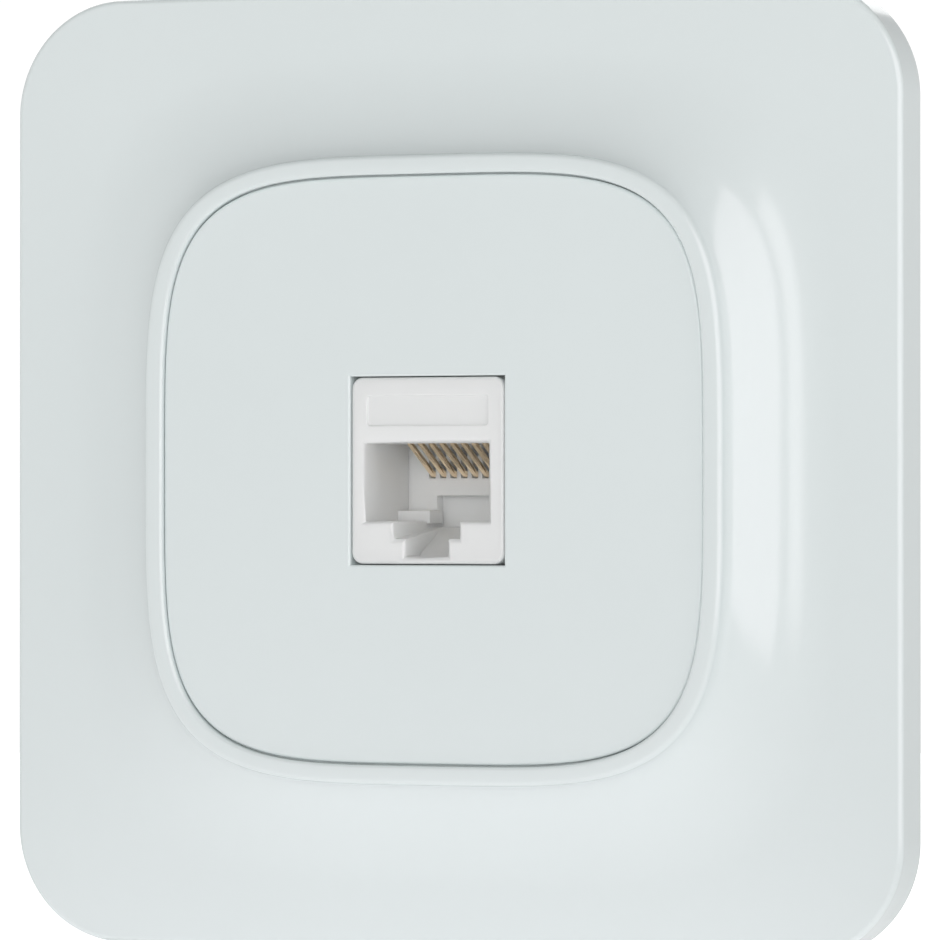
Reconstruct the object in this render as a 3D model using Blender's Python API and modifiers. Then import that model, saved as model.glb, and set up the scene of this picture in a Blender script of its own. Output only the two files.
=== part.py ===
"""Flush wall outlet with one eight-contact network jack.

X points right and Z up as seen from the room. +Y points into the wall, and the wall plane is y = 0.
Every dimension below is in millimetres; the meshes are made in metres.
"""

import math

import bmesh
import bpy
from mathutils import Matrix, Vector

MM = 0.001

# Cover frame
FRAME_SIDE = 84.0
FRAME_CORNER = 10.2
BORDER_FRONT = -4.7
FRAME_WALL = 2.0
COVE_FOOT = 36.2
RIM_FRONT = -9.0
RIM_WIDTH = 1.5
RIM_SQUIRCLE = 4.05
LIP_BACK = -5.0
EDGE_FILLET = 0.5

# Centre plate
PLATE_HALF = 25.5
SQUIRCLE = 4.3
PLATE_FRONT = -8.6
PLATE_THICK = 2.0
SKIRT_BACK = -4.0
SKIRT_WALL = 1.4
RIM_GAP = 0.3
ARM_HALF = 3.0
ARM_THICK = 1.2
ARM_REACH = 0.6
BUMP_RADIUS = 0.5

# Jack front and its socket
JACK_HALF_X = 7.2
JACK_HALF_Z = 8.1
JACK_FRONT = -8.5
JACK_CORNER = 1.0
JACK_GAP = 0.1
CAVITY_HALF_X = 5.9
CAVITY_TOP = 2.4
CAVITY_FLOOR = -4.4
SHOULDER_HALF_X = 3.15
SHOULDER_FLOOR = -6.0
KEYWAY_HALF_X = 2.1
KEYWAY_FLOOR = -7.45
LABEL_FIELD = (5.7, 3.9, 6.5)
LABEL_DEPTH = 0.25
LIP_THICK = 3.4
RAMP_TOP = -4.95
NOTCH_BACK = 2.35
POCKET_FRONT = 4.6
COLLAR_FRONT = 3.4
COLLAR_BACK = 7.4
COLLAR_HALF_X = 8.0
COLLAR_HALF_Z = 8.9
LATCH_ROOT = (0.0, 6.0, 9.3)
LATCH_HALF_X = 3.2

# Contact sled
SLED_FRONT = 1.05
SLED_CLEARANCE = 0.1
SLED_RECESS = (3.1, 2.35, -2.15)
STOP_FRONT = -1.3
STOP_TOP = -3.45
COMB_BACK = 2.7
COMB_FLOOR = -0.85
COMB_SLOT = 0.66

# Contact springs
CONTACTS = 8
CONTACT_PITCH = 1.02
CONTACT_RADIUS = 0.22
CONTACT_ROOT = (-3.7, 3.0)

# Insulation-displacement block
BLOCK_FRONT = 7.7
BLOCK_BASE = 1.8
TOWER_BACK = 18.0
TOWER_X = (3.4, 7.6)
TERMINAL_X = 5.5
TERMINAL_PITCH = 3.9
CAP_WALL = 0.8
CAP_FRONT = 12.0

# Carrier, support ring and claws
GAP = 0.3
RING_SIDE = 71.0
RING_THICK = 1.0
RING_OPENING = 16.0
SLOT_RADIUS = 30.0
SLOT_LENGTH = 9.0
SLOT_WIDTH = 3.8
CORNER_REACH = 36.0
CORNER_HOLE = 1.6
CARRIER_HALF = 17.9
CARRIER_FRONT = -3.3
CARRIER_THICK = 2.0
SLEEVE_X = 10.6
SLEEVE_Z = 12.6
SLEEVE_WALL = 1.6
SLEEVE_BACK = 9.0
ARM_X = 13.0
ARM_Z = 14.6
CLAW_PIVOT = (18.6, 4.0)
CLAW_STEEL = 1.2
CLAW_HALF_Z = 7.6
CLAW_BACK = 16.5
CLAW_TIP = 26.0
PIN_RADIUS = 1.0
SCREW_X = 22.4
SCREW_RADIUS = 1.6
SCREW_BACK = 21.5
NUT_HALF = 3.3
NUT_THICK = 2.6

GROUP_NAME = "data_outlet"


def clear_scene():
    """Remove whatever the scene holds at the start."""
    for item in list(bpy.data.objects):
        bpy.data.objects.remove(item, do_unlink=True)


def make_collection(name):
    """Add a collection under the scene's own one."""
    group = bpy.data.collections.new(name)
    bpy.context.scene.collection.children.link(group)
    return group


def make_material(name, color, roughness, metallic=0.0):
    """One Principled BSDF with a colour, a roughness and a metallic value."""
    material = bpy.data.materials.new(name)
    material.use_nodes = True
    shader = material.node_tree.nodes["Principled BSDF"]
    shader.inputs["Base Color"].default_value = (*color, 1.0)
    shader.inputs["Roughness"].default_value = roughness
    shader.inputs["Metallic"].default_value = metallic
    return material


def add_object(name, mesh, group=None):
    """Link a mesh as a part, or as a hidden cutter when no group is given."""
    item = bpy.data.objects.new(name, mesh)
    (group or CUTTERS).objects.link(item)
    if group is None:
        item.hide_render = True
        item.display_type = "WIRE"
    return item


def mesh_from(bm, name):
    """Turn a bmesh in millimetres into a mesh in metres with its faces pointing out."""
    bmesh.ops.recalc_face_normals(bm, faces=bm.faces)
    bmesh.ops.scale(bm, vec=(MM, MM, MM), verts=bm.verts)
    mesh = bpy.data.meshes.new(name)
    bm.to_mesh(mesh)
    bm.free()
    return mesh


def box(name, low, high, group=None):
    """A block between two corners."""
    low, high = Vector(low), Vector(high)
    size = high - low
    place = Matrix.Translation((low + high) / 2) @ Matrix.Diagonal((*size, 1.0))
    bm = bmesh.new()
    bmesh.ops.create_cube(bm, size=1.0, matrix=place)
    return add_object(name, mesh_from(bm, name), group)


def boxes(name, corners, group=None):
    """Several blocks that don't touch, as one cutter."""
    bm = bmesh.new()
    for low, high in corners:
        low, high = Vector(low), Vector(high)
        place = Matrix.Translation((low + high) / 2) @ Matrix.Diagonal((*(high - low), 1.0))
        bmesh.ops.create_cube(bm, size=1.0, matrix=place)
    return add_object(name, mesh_from(bm, name), group)


def rod(name, start, end, radius, group=None, sides=24):
    """A plain cylinder between two points."""
    start, end = Vector(start), Vector(end)
    along = end - start
    turn = along.to_track_quat("Z", "Y").to_matrix().to_4x4()
    place = Matrix.Translation((start + end) / 2) @ turn
    bm = bmesh.new()
    bmesh.ops.create_cone(
        bm, cap_ends=True, segments=sides, radius1=radius, radius2=radius, depth=along.length, matrix=place
    )
    return add_object(name, mesh_from(bm, name), group)


def turned(name, profile, group, steps=24):
    """Turn a (radius, height) profile, listed top to bottom, about Z."""
    bm = bmesh.new()
    points = [bm.verts.new((radius * MM, 0.0, height * MM)) for radius, height in profile]
    for first, second in zip(points, points[1:]):
        bm.edges.new((first, second))
    mesh = bpy.data.meshes.new(name)
    bm.to_mesh(mesh)
    bm.free()
    item = add_object(name, mesh, group)
    screw = item.modifiers.new("Turn", "SCREW")
    screw.steps = steps
    screw.render_steps = steps
    screw.use_merge_vertices = True
    screw.merge_threshold = 0.00001
    return item


def curve_mesh(name, curve, matrix, group):
    """Evaluate a curve object as a mesh, weld its caps and put the mesh in its place."""
    guide = bpy.data.objects.new(name + "_curve", curve)
    bpy.context.scene.collection.objects.link(guide)
    guide.matrix_world = matrix
    bpy.context.view_layer.update()
    graph = bpy.context.evaluated_depsgraph_get()
    mesh = bpy.data.meshes.new_from_object(guide.evaluated_get(graph))
    mesh.transform(matrix)
    bpy.data.objects.remove(guide)
    bm = bmesh.new()
    bm.from_mesh(mesh)
    bmesh.ops.remove_doubles(bm, verts=bm.verts, dist=0.000001)
    bmesh.ops.recalc_face_normals(bm, faces=bm.faces)
    bm.to_mesh(mesh)
    bm.free()
    return add_object(name, mesh, group)


def flat_curve(name, outline, thickness):
    """A filled 2D curve, extruded by half its thickness to each side."""
    curve = bpy.data.curves.new(name, "CURVE")
    curve.dimensions = "2D"
    curve.fill_mode = "BOTH"
    curve.extrude = thickness * MM / 2
    spline = curve.splines.new("POLY")
    spline.points.add(len(outline) - 1)
    for point, (across, up) in zip(spline.points, outline):
        point.co = (across * MM, up * MM, 0.0, 1.0)
    spline.use_cyclic_u = True
    return curve


def cross_profile(name, outline, half_width, group=None):
    """An outline in Y and Z, extruded along X."""
    turn = Matrix.Rotation(math.radians(90), 4, "X") @ Matrix.Rotation(math.radians(-90), 4, "Y")
    return curve_mesh(name, flat_curve(name, [(-y, z) for y, z in outline], 2 * half_width), turn, group)


def front_plate(name, outline, front, back, group=None):
    """An outline in X and Z, extruded along Y."""
    middle = Matrix.Translation((0.0, (front + back) * MM / 2, 0.0))
    upright = Matrix.Rotation(math.radians(90), 4, "X")
    return curve_mesh(name, flat_curve(name, outline, back - front), middle @ upright, group)


def side_profile(name, outline, half_height, group=None):
    """An outline in X and Y, extruded along Z."""
    return curve_mesh(name, flat_curve(name, outline, 2 * half_height), Matrix.Identity(4), group)


def rounded_rectangle(half_x, half_z, radius, center=(0.0, 0.0), steps=5):
    """Points round a rectangle with arcs at its corners."""
    points = []
    for corner, (sign_x, sign_z) in enumerate(((1, 1), (-1, 1), (-1, -1), (1, -1))):
        for step in range(steps + 1):
            angle = math.radians(90 * corner + 90 * step / steps)
            across = center[0] + sign_x * (half_x - radius) + radius * math.cos(angle)
            up = center[1] + sign_z * (half_z - radius) + radius * math.sin(angle)
            points.append((across, up))
    return points


def add_boolean(item, other, operation):
    """A live, exact Boolean."""
    modifier = item.modifiers.new(other.name, "BOOLEAN")
    modifier.operation = operation
    modifier.solver = "EXACT"
    modifier.object = other


def cut(item, *cutters):
    """Take each cutter away from the item."""
    for cutter in cutters:
        add_boolean(item, cutter, "DIFFERENCE")


def join(item, *others):
    """Unite each helper with the item."""
    for other in others:
        add_boolean(item, other, "UNION")


def set_origin(item, point):
    """Move the object's origin to a joint's axis and keep its mesh where it is."""
    point = Vector(point) * MM
    item.data.transform(Matrix.Translation(-point))
    item.location = point


def smooth(item, angle=40):
    """Smooth shading with sharp edges where faces meet at more than this angle."""
    item.data.shade_smooth()
    item.data.set_sharp_from_angle(angle=math.radians(angle))


def finish(item, material, origin=None):
    """Give a part its material and, if it moves, its origin."""
    item.data.materials.append(material)
    if origin is not None:
        set_origin(item, origin)
    return item


def outline_angles():
    """Polar angles round the outlines, closer together where the outer corners turn."""
    half_quarter = [0, 7, 14, 20, 26, 31.5, 36.5, 38.5, 40.5, 42.8]
    quarter = half_quarter + [45] + [90 - angle for angle in reversed(half_quarter[1:])]
    return [math.radians(angle + 90 * turn) for turn in range(4) for angle in quarter]


def superellipse_ring(half, y, power=SQUIRCLE):
    """A squircle of this half width."""
    ring = []
    for angle in outline_angles():
        c, s = math.cos(angle), math.sin(angle)
        reach = half / (abs(c) ** power + abs(s) ** power) ** (1 / power)
        ring.append((reach * c, y, reach * s))
    return ring


def rounded_square_ring(half, radius, y):
    """A square with round corners, sampled at the same polar angles as the squircles."""
    ring = []
    inner = half - radius
    for angle in outline_angles():
        c, s = abs(math.cos(angle)), abs(math.sin(angle))
        reach = half / max(c, s)
        if reach * min(c, s) > inner:
            along = inner * (c + s)
            reach = along + math.sqrt(along**2 - 2 * inner**2 + radius**2)
        ring.append((reach * math.cos(angle), y, reach * math.sin(angle)))
    return ring


def loft(name, rings, group, closed=False):
    """Faces between rings of equal count; a closed loft joins the last ring to the first."""
    bm = bmesh.new()
    rows = [[bm.verts.new(point) for point in ring] for ring in rings]
    pairs = list(zip(rows, rows[1:]))
    if closed:
        pairs.append((rows[-1], rows[0]))
    else:
        bm.faces.new(rows[0])
        bm.faces.new(rows[-1])
    count = len(rings[0])
    for first, second in pairs:
        for k in range(count):
            after = (k + 1) % count
            bm.faces.new((first[k], first[after], second[after], second[k]))
    return add_object(name, mesh_from(bm, name), group)


def cove_rings(rim_outer):
    """Rings of the concave sweep from the flat border up to the rim."""
    rings = []
    steps = 6
    rise = (RIM_FRONT + EDGE_FILLET / 2) - BORDER_FRONT
    for step in range(1, steps + 1):
        share = step / steps
        half = COVE_FOOT + (rim_outer - COVE_FOOT) * math.sin(share * math.pi / 2)
        y = BORDER_FRONT + rise * (1 - math.cos(share * math.pi / 2)) ** 0.9
        rings.append(superellipse_ring(half, y, SQUIRCLE + (RIM_SQUIRCLE - SQUIRCLE) * share))
    return rings


def make_cover_frame():
    """Hollow-backed surround: flat border, cove and a rim that stands round the centre plate."""
    half = FRAME_SIDE / 2
    rim_inner = PLATE_HALF + RIM_GAP
    rim_outer = rim_inner + RIM_WIDTH
    rings = [
        rounded_square_ring(half, FRAME_CORNER, 0.0),
        rounded_square_ring(half, FRAME_CORNER, BORDER_FRONT + EDGE_FILLET),
        rounded_square_ring(half - EDGE_FILLET * 0.3, FRAME_CORNER, BORDER_FRONT + EDGE_FILLET * 0.3),
        rounded_square_ring(half - EDGE_FILLET, FRAME_CORNER - EDGE_FILLET, BORDER_FRONT),
        superellipse_ring(COVE_FOOT, BORDER_FRONT),
        *cove_rings(rim_outer),
        superellipse_ring(rim_outer - EDGE_FILLET / 2, RIM_FRONT, RIM_SQUIRCLE),
        superellipse_ring(rim_inner + EDGE_FILLET / 2, RIM_FRONT),
        superellipse_ring(rim_inner, RIM_FRONT + EDGE_FILLET / 2),
        superellipse_ring(rim_inner, LIP_BACK),
        superellipse_ring(rim_outer + 0.4, LIP_BACK),
        superellipse_ring(rim_outer + 2.6, LIP_BACK + 0.9),
        superellipse_ring(COVE_FOOT - 2.0, BORDER_FRONT + FRAME_WALL - 0.2),
        rounded_square_ring(half - FRAME_WALL, FRAME_CORNER - FRAME_WALL, BORDER_FRONT + FRAME_WALL),
        rounded_square_ring(half - FRAME_WALL, FRAME_CORNER - FRAME_WALL, 0.0),
    ]
    frame = loft("cover_frame", rings, PARTS, closed=True)
    low, high = RING_SIDE / 2 + 0.7, RING_SIDE / 2 + 2.3
    for name, angle in (("right", 0), ("top", 90), ("left", 180), ("bottom", 270)):
        snap = box("frame_snap_" + name, (low, BORDER_FRONT + FRAME_WALL - 0.4, -4.0), (high, -0.4, 4.0))
        snap.rotation_euler = (0.0, math.radians(angle), 0.0)
        join(frame, snap)
    smooth(frame)
    return finish(frame, WHITE_GLOSS, (0.0, BORDER_FRONT, 0.0))


def make_centre_plate():
    """Squircle plate with a skirt, a collar round the jack's opening and four snap arms."""
    plate_back = PLATE_FRONT + PLATE_THICK
    rings = [
        superellipse_ring(PLATE_HALF - 0.3, PLATE_FRONT),
        superellipse_ring(PLATE_HALF, PLATE_FRONT + 0.3),
        superellipse_ring(PLATE_HALF, SKIRT_BACK),
        superellipse_ring(PLATE_HALF - SKIRT_WALL, SKIRT_BACK),
        superellipse_ring(PLATE_HALF - SKIRT_WALL, plate_back),
    ]
    plate = loft("centre_plate", rings, PARTS)
    opening_x, opening_z = JACK_HALF_X + JACK_GAP, JACK_HALF_Z + JACK_GAP
    collar = box(
        "plate_collar",
        (-opening_x - 1.3, plate_back - 0.4, -opening_z - 1.3),
        (opening_x + 1.3, CARRIER_FRONT - 0.9, opening_z + 1.3),
    )
    join(plate, collar)
    half_thick = ARM_THICK / 2
    for side in (-1, 1):
        upright = box(
            f"plate_arm_z{side}",
            (-ARM_HALF, plate_back - 0.4, side * ARM_Z - half_thick),
            (ARM_HALF, ARM_REACH, side * ARM_Z + half_thick),
        )
        level = box(
            f"plate_arm_x{side}",
            (side * ARM_X - half_thick, plate_back - 0.4, -ARM_HALF),
            (side * ARM_X + half_thick, ARM_REACH, ARM_HALF),
        )
        bump_z = side * (ARM_Z + half_thick - 0.2)
        bump = rod(f"plate_bump_{side}", (-2.0, -0.4, bump_z), (2.0, -0.4, bump_z), BUMP_RADIUS, sides=10)
        join(plate, upright, level, bump)
    cut(plate, box("plate_opening", (-opening_x, -12.0, -opening_z), (opening_x, 0.0, opening_z)))
    smooth(plate)
    return finish(plate, WHITE_SATIN, (0.0, PLATE_FRONT, 0.0))


def make_support_ring():
    """Stamped steel ring that lies on the wall, with the claws' bent ears behind it."""
    half = RING_SIDE / 2
    ring = front_plate("support_ring", rounded_rectangle(half, half, 6.0), -RING_THICK, 0.0, PARTS)
    opening = rounded_rectangle(RING_OPENING, RING_OPENING, 1.5)
    cut(ring, front_plate("ring_opening", opening, -3.0, 3.0))
    for turn in range(4):
        angle = math.radians(90 * turn)
        center = (SLOT_RADIUS * math.cos(angle), SLOT_RADIUS * math.sin(angle))
        long_x = turn % 2 == 1
        half_x = SLOT_LENGTH / 2 if long_x else SLOT_WIDTH / 2
        half_z = SLOT_WIDTH / 2 if long_x else SLOT_LENGTH / 2
        slot = rounded_rectangle(half_x, half_z, SLOT_WIDTH / 2 - 0.01, center)
        cut(ring, front_plate(f"box_slot_{turn}", slot, -3.0, 3.0))
        diagonal = math.radians(45 + 90 * turn)
        spot = (CORNER_REACH * math.cos(diagonal), CORNER_REACH * math.sin(diagonal))
        front, back = (spot[0], -3.0, spot[1]), (spot[0], 3.0, spot[1])
        cut(ring, rod(f"corner_hole_{turn}", front, back, CORNER_HOLE, sides=16))
    pivot_x, pivot_y = CLAW_PIVOT
    for side in (-1, 1):
        cut(ring, rod(f"screw_hole_{side}", (side * SCREW_X, -3.0, 0.0), (side * SCREW_X, 3.0, 0.0), 1.95))
        for level in (-1, 1):
            inner, outer = CLAW_HALF_Z + GAP, CLAW_HALF_Z + GAP + RING_THICK
            ear = box(
                f"ear_{side}_{level}",
                (side * pivot_x - 2.0, -RING_THICK / 2, min(level * inner, level * outer)),
                (side * pivot_x + 2.0, pivot_y + 2.3, max(level * inner, level * outer)),
            )
            join(ring, ear)
        x = side * pivot_x
        cut(ring, rod(f"pin_hole_{side}", (x, pivot_y, -12.0), (x, pivot_y, 12.0), PIN_RADIUS + GAP))
    smooth(ring, 30)
    return finish(ring, ZINC_STEEL)


def make_jack_carrier():
    """Moulded carrier: a flange in front of the ring and a sleeve round the jack behind it."""
    flange_back = CARRIER_FRONT + CARRIER_THICK
    flange = rounded_rectangle(CARRIER_HALF, CARRIER_HALF, 2.0)
    carrier = front_plate("jack_carrier", flange, CARRIER_FRONT, flange_back, PARTS)
    sleeve = box("sleeve", (-SLEEVE_X, flange_back - 0.5, -SLEEVE_Z), (SLEEVE_X, SLEEVE_BACK, SLEEVE_Z))
    join(carrier, sleeve)
    for side_x in (-1, 1):
        for side_z in (-1, 1):
            left, right = sorted((side_x * 5.0, side_x * 6.6))
            low, high = sorted((side_z * (SLEEVE_Z - 0.3), side_z * (RING_OPENING - GAP)))
            name = f"locating_rib_{side_x}_{side_z}"
            join(carrier, box(name, (left, flange_back - 0.5, low), (right, SLEEVE_BACK - 4.0, high)))
    bore_x, bore_z = SLEEVE_X - SLEEVE_WALL, SLEEVE_Z - SLEEVE_WALL
    bore = box("sleeve_bore", (-bore_x, flange_back, -bore_z), (bore_x, SLEEVE_BACK + 2.0, bore_z))
    half_x, half_z = JACK_HALF_X + GAP, JACK_HALF_Z + GAP
    aperture = box(
        "jack_aperture",
        (-half_x, CARRIER_FRONT - 2.0, -half_z),
        (half_x, flange_back + 1.0, half_z),
    )
    latch_window = box("latch_window", (-3.8, flange_back + GAP, bore_z - 1.0), (3.8, 2.0, SLEEVE_Z + 1.0))
    windows = []
    long_half, front, back = ARM_HALF + 0.5, CARRIER_FRONT - 2.0, flange_back + 1.0
    for side in (-1, 1):
        middle = side * (ARM_Z + 0.2)
        windows.append(((-long_half, front, middle - ARM_THICK), (long_half, back, middle + ARM_THICK)))
        middle = side * ARM_X
        windows.append(((middle - 1.1, front, -long_half), (middle + 1.1, back, long_half)))
    cut(carrier, bore, aperture, latch_window, boxes("arm_windows", windows))
    smooth(carrier, 30)
    return finish(carrier, WHITE_MATT)


def make_claw(side, name):
    """Bent steel claw, slotted so that its screw passes through, with teeth at its outer end."""
    pivot_x, pivot_y = CLAW_PIVOT
    inner = pivot_x - CLAW_STEEL / 2
    profile = [
        (inner, pivot_y - 0.5),
        (inner + CLAW_STEEL, pivot_y - 0.5),
        (inner + CLAW_STEEL, CLAW_BACK - CLAW_STEEL),
        (CLAW_TIP, CLAW_BACK - CLAW_STEEL),
        (CLAW_TIP, CLAW_BACK),
        (inner + 0.5, CLAW_BACK),
        (inner, CLAW_BACK - 0.5),
    ]
    profile = [(side * x, y) for x, y in profile]
    claw = side_profile("claw_" + name, profile, CLAW_HALF_Z, PARTS)
    knuckle = rod(
        "knuckle_" + name,
        (side * pivot_x, pivot_y, -CLAW_HALF_Z),
        (side * pivot_x, pivot_y, CLAW_HALF_Z),
        PIN_RADIUS + 0.9,
        sides=20,
    )
    join(claw, knuckle)
    low, high = sorted((side * (inner - 2.0), side * (CLAW_TIP - 1.3)))
    slot = box("claw_slot_" + name, (low, pivot_y + 2.6, -2.3), (high, CLAW_BACK + 2.0, 2.3))
    x = side * pivot_x
    bore = rod("claw_bore_" + name, (x, pivot_y, -9.0), (x, pivot_y, 9.0), PIN_RADIUS + GAP)
    teeth = []
    for level in (-5.4, -1.8, 1.8, 5.4):
        low, high = sorted((side * (CLAW_TIP - 0.8), side * (CLAW_TIP + 1.0)))
        teeth.append(((low, CLAW_BACK - 3.0, level - 0.8), (high, CLAW_BACK + 1.0, level + 0.8)))
    cut(claw, slot, bore, boxes("claw_teeth_" + name, teeth))
    smooth(claw, 30)
    return finish(claw, ZINC_STEEL, (side * pivot_x, pivot_y, 0.0))


def make_claw_pin(side, name):
    """Headed pin through the ring's ears and the claw's knuckle."""
    reach = CLAW_HALF_Z + GAP + RING_THICK + GAP
    profile = [
        (0.0, reach + 0.7),
        (1.6, reach + 0.5),
        (1.6, reach),
        (PIN_RADIUS, reach),
        (PIN_RADIUS, -reach),
        (1.6, -reach),
        (1.6, -reach - 0.5),
        (0.0, -reach - 0.7),
    ]
    pin = turned("claw_pin_" + name, profile, PARTS, steps=16)
    pin.location = Vector((side * CLAW_PIVOT[0], CLAW_PIVOT[1], 0.0)) * MM
    smooth(pin)
    return finish(pin, ZINC_STEEL)


def make_claw_screw(side, name):
    """Slotted screw whose head lies in front of the support ring."""
    head_back = RING_THICK + GAP
    profile = [
        (0.0, head_back + 1.9),
        (2.7, head_back + 1.9),
        (3.2, head_back + 1.5),
        (3.2, head_back),
        (SCREW_RADIUS, head_back),
        (SCREW_RADIUS, 0.8 - SCREW_BACK),
        (0.8, -SCREW_BACK),
        (0.0, -SCREW_BACK),
    ]
    screw = turned("claw_screw_" + name, profile, PARTS)
    slot = box(
        "driver_slot_" + name,
        (side * SCREW_X - 0.45, -head_back - 3.0, -4.0),
        (side * SCREW_X + 0.45, -head_back - 1.0, 4.0),
    )
    screw.rotation_euler = (math.radians(90), 0.0, 0.0)
    screw.location = Vector((side * SCREW_X, 0.0, 0.0)) * MM
    cut(screw, slot)
    smooth(screw)
    return finish(screw, ZINC_STEEL)


def make_claw_nut(side, name):
    """Square nut that draws the claw forward along the screw."""
    front = CLAW_BACK + 0.5
    back = front + NUT_THICK
    x = side * SCREW_X
    nut = box("claw_nut_" + name, (x - NUT_HALF, front, -NUT_HALF), (x + NUT_HALF, back, NUT_HALF), PARTS)
    cut(nut, rod("nut_bore_" + name, (x, front - 1, 0.0), (x, back + 1, 0.0), SCREW_RADIUS + GAP))
    return finish(nut, ZINC_STEEL, (x, front, 0.0))


def make_jack_housing():
    """Front shell of the jack: plug cavity, stepped keyway, blank label field and rear collar."""
    face = rounded_rectangle(JACK_HALF_X, JACK_HALF_Z, JACK_CORNER, steps=4)
    housing = front_plate("jack_housing", face, JACK_FRONT, COLLAR_FRONT + 0.5, PARTS)
    collar = box(
        "jack_collar",
        (-COLLAR_HALF_X, COLLAR_FRONT, -COLLAR_HALF_Z),
        (COLLAR_HALF_X, COLLAR_BACK, COLLAR_HALF_Z),
    )
    lug = box("jack_lug", (-3.0, CARRIER_FRONT + CARRIER_THICK + GAP, -9.8), (3.0, COLLAR_FRONT + 0.5, -7.8))
    join(housing, collar, lug)
    front = JACK_FRONT - 2.0
    label_half, label_low, label_high = LABEL_FIELD
    label_floor = JACK_FRONT + LABEL_DEPTH
    shoulder = [
        (front, 0.0),
        (front, SHOULDER_FLOOR),
        (JACK_FRONT, SHOULDER_FLOOR),
        (NOTCH_BACK, RAMP_TOP),
        (NOTCH_BACK, 0.0),
    ]
    keyway = [
        (front, 0.0),
        (front, KEYWAY_FLOOR),
        (JACK_FRONT + LIP_THICK, KEYWAY_FLOOR),
        (NOTCH_BACK, RAMP_TOP),
        (NOTCH_BACK, 0.0),
    ]
    cut(
        housing,
        box("cavity", (-CAVITY_HALF_X, front, CAVITY_FLOOR), (CAVITY_HALF_X, POCKET_FRONT + 1, CAVITY_TOP)),
        cross_profile("shoulder", shoulder, SHOULDER_HALF_X),
        cross_profile("keyway", keyway, KEYWAY_HALF_X),
        box("label_field", (-label_half, front, label_low), (label_half, label_floor, label_high)),
        box("comb_pocket", (-4.5, -4.6, 0.0), (4.5, -2.8, 3.7)),
        box("rear_pocket", (-6.6, POCKET_FRONT, -7.2), (6.6, COLLAR_BACK + 1, 7.2)),
        box("latch_relief", (-3.6, COLLAR_FRONT - 1, JACK_HALF_Z), (3.6, COLLAR_BACK + 1, 12.0)),
    )
    smooth(housing, 30)
    return finish(housing, WHITE_MATT, (0.0, JACK_FRONT, 0.0))


def make_jack_latch():
    """Flexing arm on top of the jack, with the nose that snaps behind the carrier's flange."""
    profile = [
        (6.6, 8.4),
        (6.6, 10.0),
        (1.6, 10.0),
        (1.0, 10.6),
        (-0.2, 10.6),
        (-1.0, 9.8),
        (-1.0, 9.0),
        (5.0, 9.0),
        (5.2, 8.4),
    ]
    latch = cross_profile("jack_latch", profile, LATCH_HALF_X, PARTS)
    smooth(latch, 30)
    return finish(latch, WHITE_MATT, LATCH_ROOT)


def contact_across(number):
    """How far a contact lies from the middle, numbered from the left."""
    return (number - (CONTACTS + 1) / 2) * CONTACT_PITCH


def make_contact_sled():
    """Insert that closes the back of the plug cavity, with the plug's stops and a comb for the contacts."""
    half_x = CAVITY_HALF_X - SLED_CLEARANCE
    low, high = CAVITY_FLOOR + SLED_CLEARANCE, CAVITY_TOP - SLED_CLEARANCE
    sled = box("contact_sled", (-half_x, SLED_FRONT, low), (half_x, 5.4, high), PARTS)
    flange = box("sled_flange", (-6.3, POCKET_FRONT + GAP, -6.9), (6.3, 5.9, 6.9))
    join(sled, flange)
    recess_half, recess_back, recess_top = SLED_RECESS
    for side in (-1, 1):
        left, right = sorted((side * recess_half, side * half_x))
        stop = box(f"plug_stop_{side}", (left, STOP_FRONT, low), (right, SLED_FRONT + 0.5, STOP_TOP))
        join(sled, stop)
    half_slot = COMB_SLOT / 2
    comb = []
    comb_top = CAVITY_TOP + 1.0
    for number in range(1, CONTACTS + 1):
        x = contact_across(number)
        comb.append(((x - half_slot, 0.0, COMB_FLOOR), (x + half_slot, COMB_BACK, comb_top)))
    recess = box("sled_recess", (-recess_half, STOP_FRONT, -6.0), (recess_half, recess_back, recess_top))
    cut(sled, recess, boxes("comb_slots", comb))
    return finish(sled, WHITE_MATT)


def make_contact(number):
    """Round gold-plated spring wire, hinged where it comes out of the cavity's ceiling."""
    across = contact_across(number)
    root_y, root_z = CONTACT_ROOT
    path = [
        (root_y, root_z + 0.3),
        (root_y, root_z - 0.45),
        (root_y + 0.35, root_z - 0.95),
        (1.05, -0.3),
        (1.4, -0.4),
        (1.6, -0.15),
    ]
    curve = bpy.data.curves.new(f"contact_{number}", "CURVE")
    curve.dimensions = "3D"
    curve.bevel_depth = CONTACT_RADIUS * MM
    curve.bevel_resolution = 2
    curve.use_fill_caps = True
    spline = curve.splines.new("POLY")
    spline.points.add(len(path) - 1)
    for point, (y, z) in zip(spline.points, path):
        point.co = (across * MM, y * MM, z * MM, 1.0)
    contact = curve_mesh(f"contact_{number}", curve, Matrix.Identity(4), PARTS)
    smooth(contact)
    return finish(contact, GOLD, (across, root_y, root_z))


def make_jack_board():
    """Small circuit board between the contacts and the terminals."""
    board = box("jack_board", (-6.3, 6.2, -6.9), (6.3, 7.2, 6.9), PARTS)
    return finish(board, BOARD_GREEN)


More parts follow.
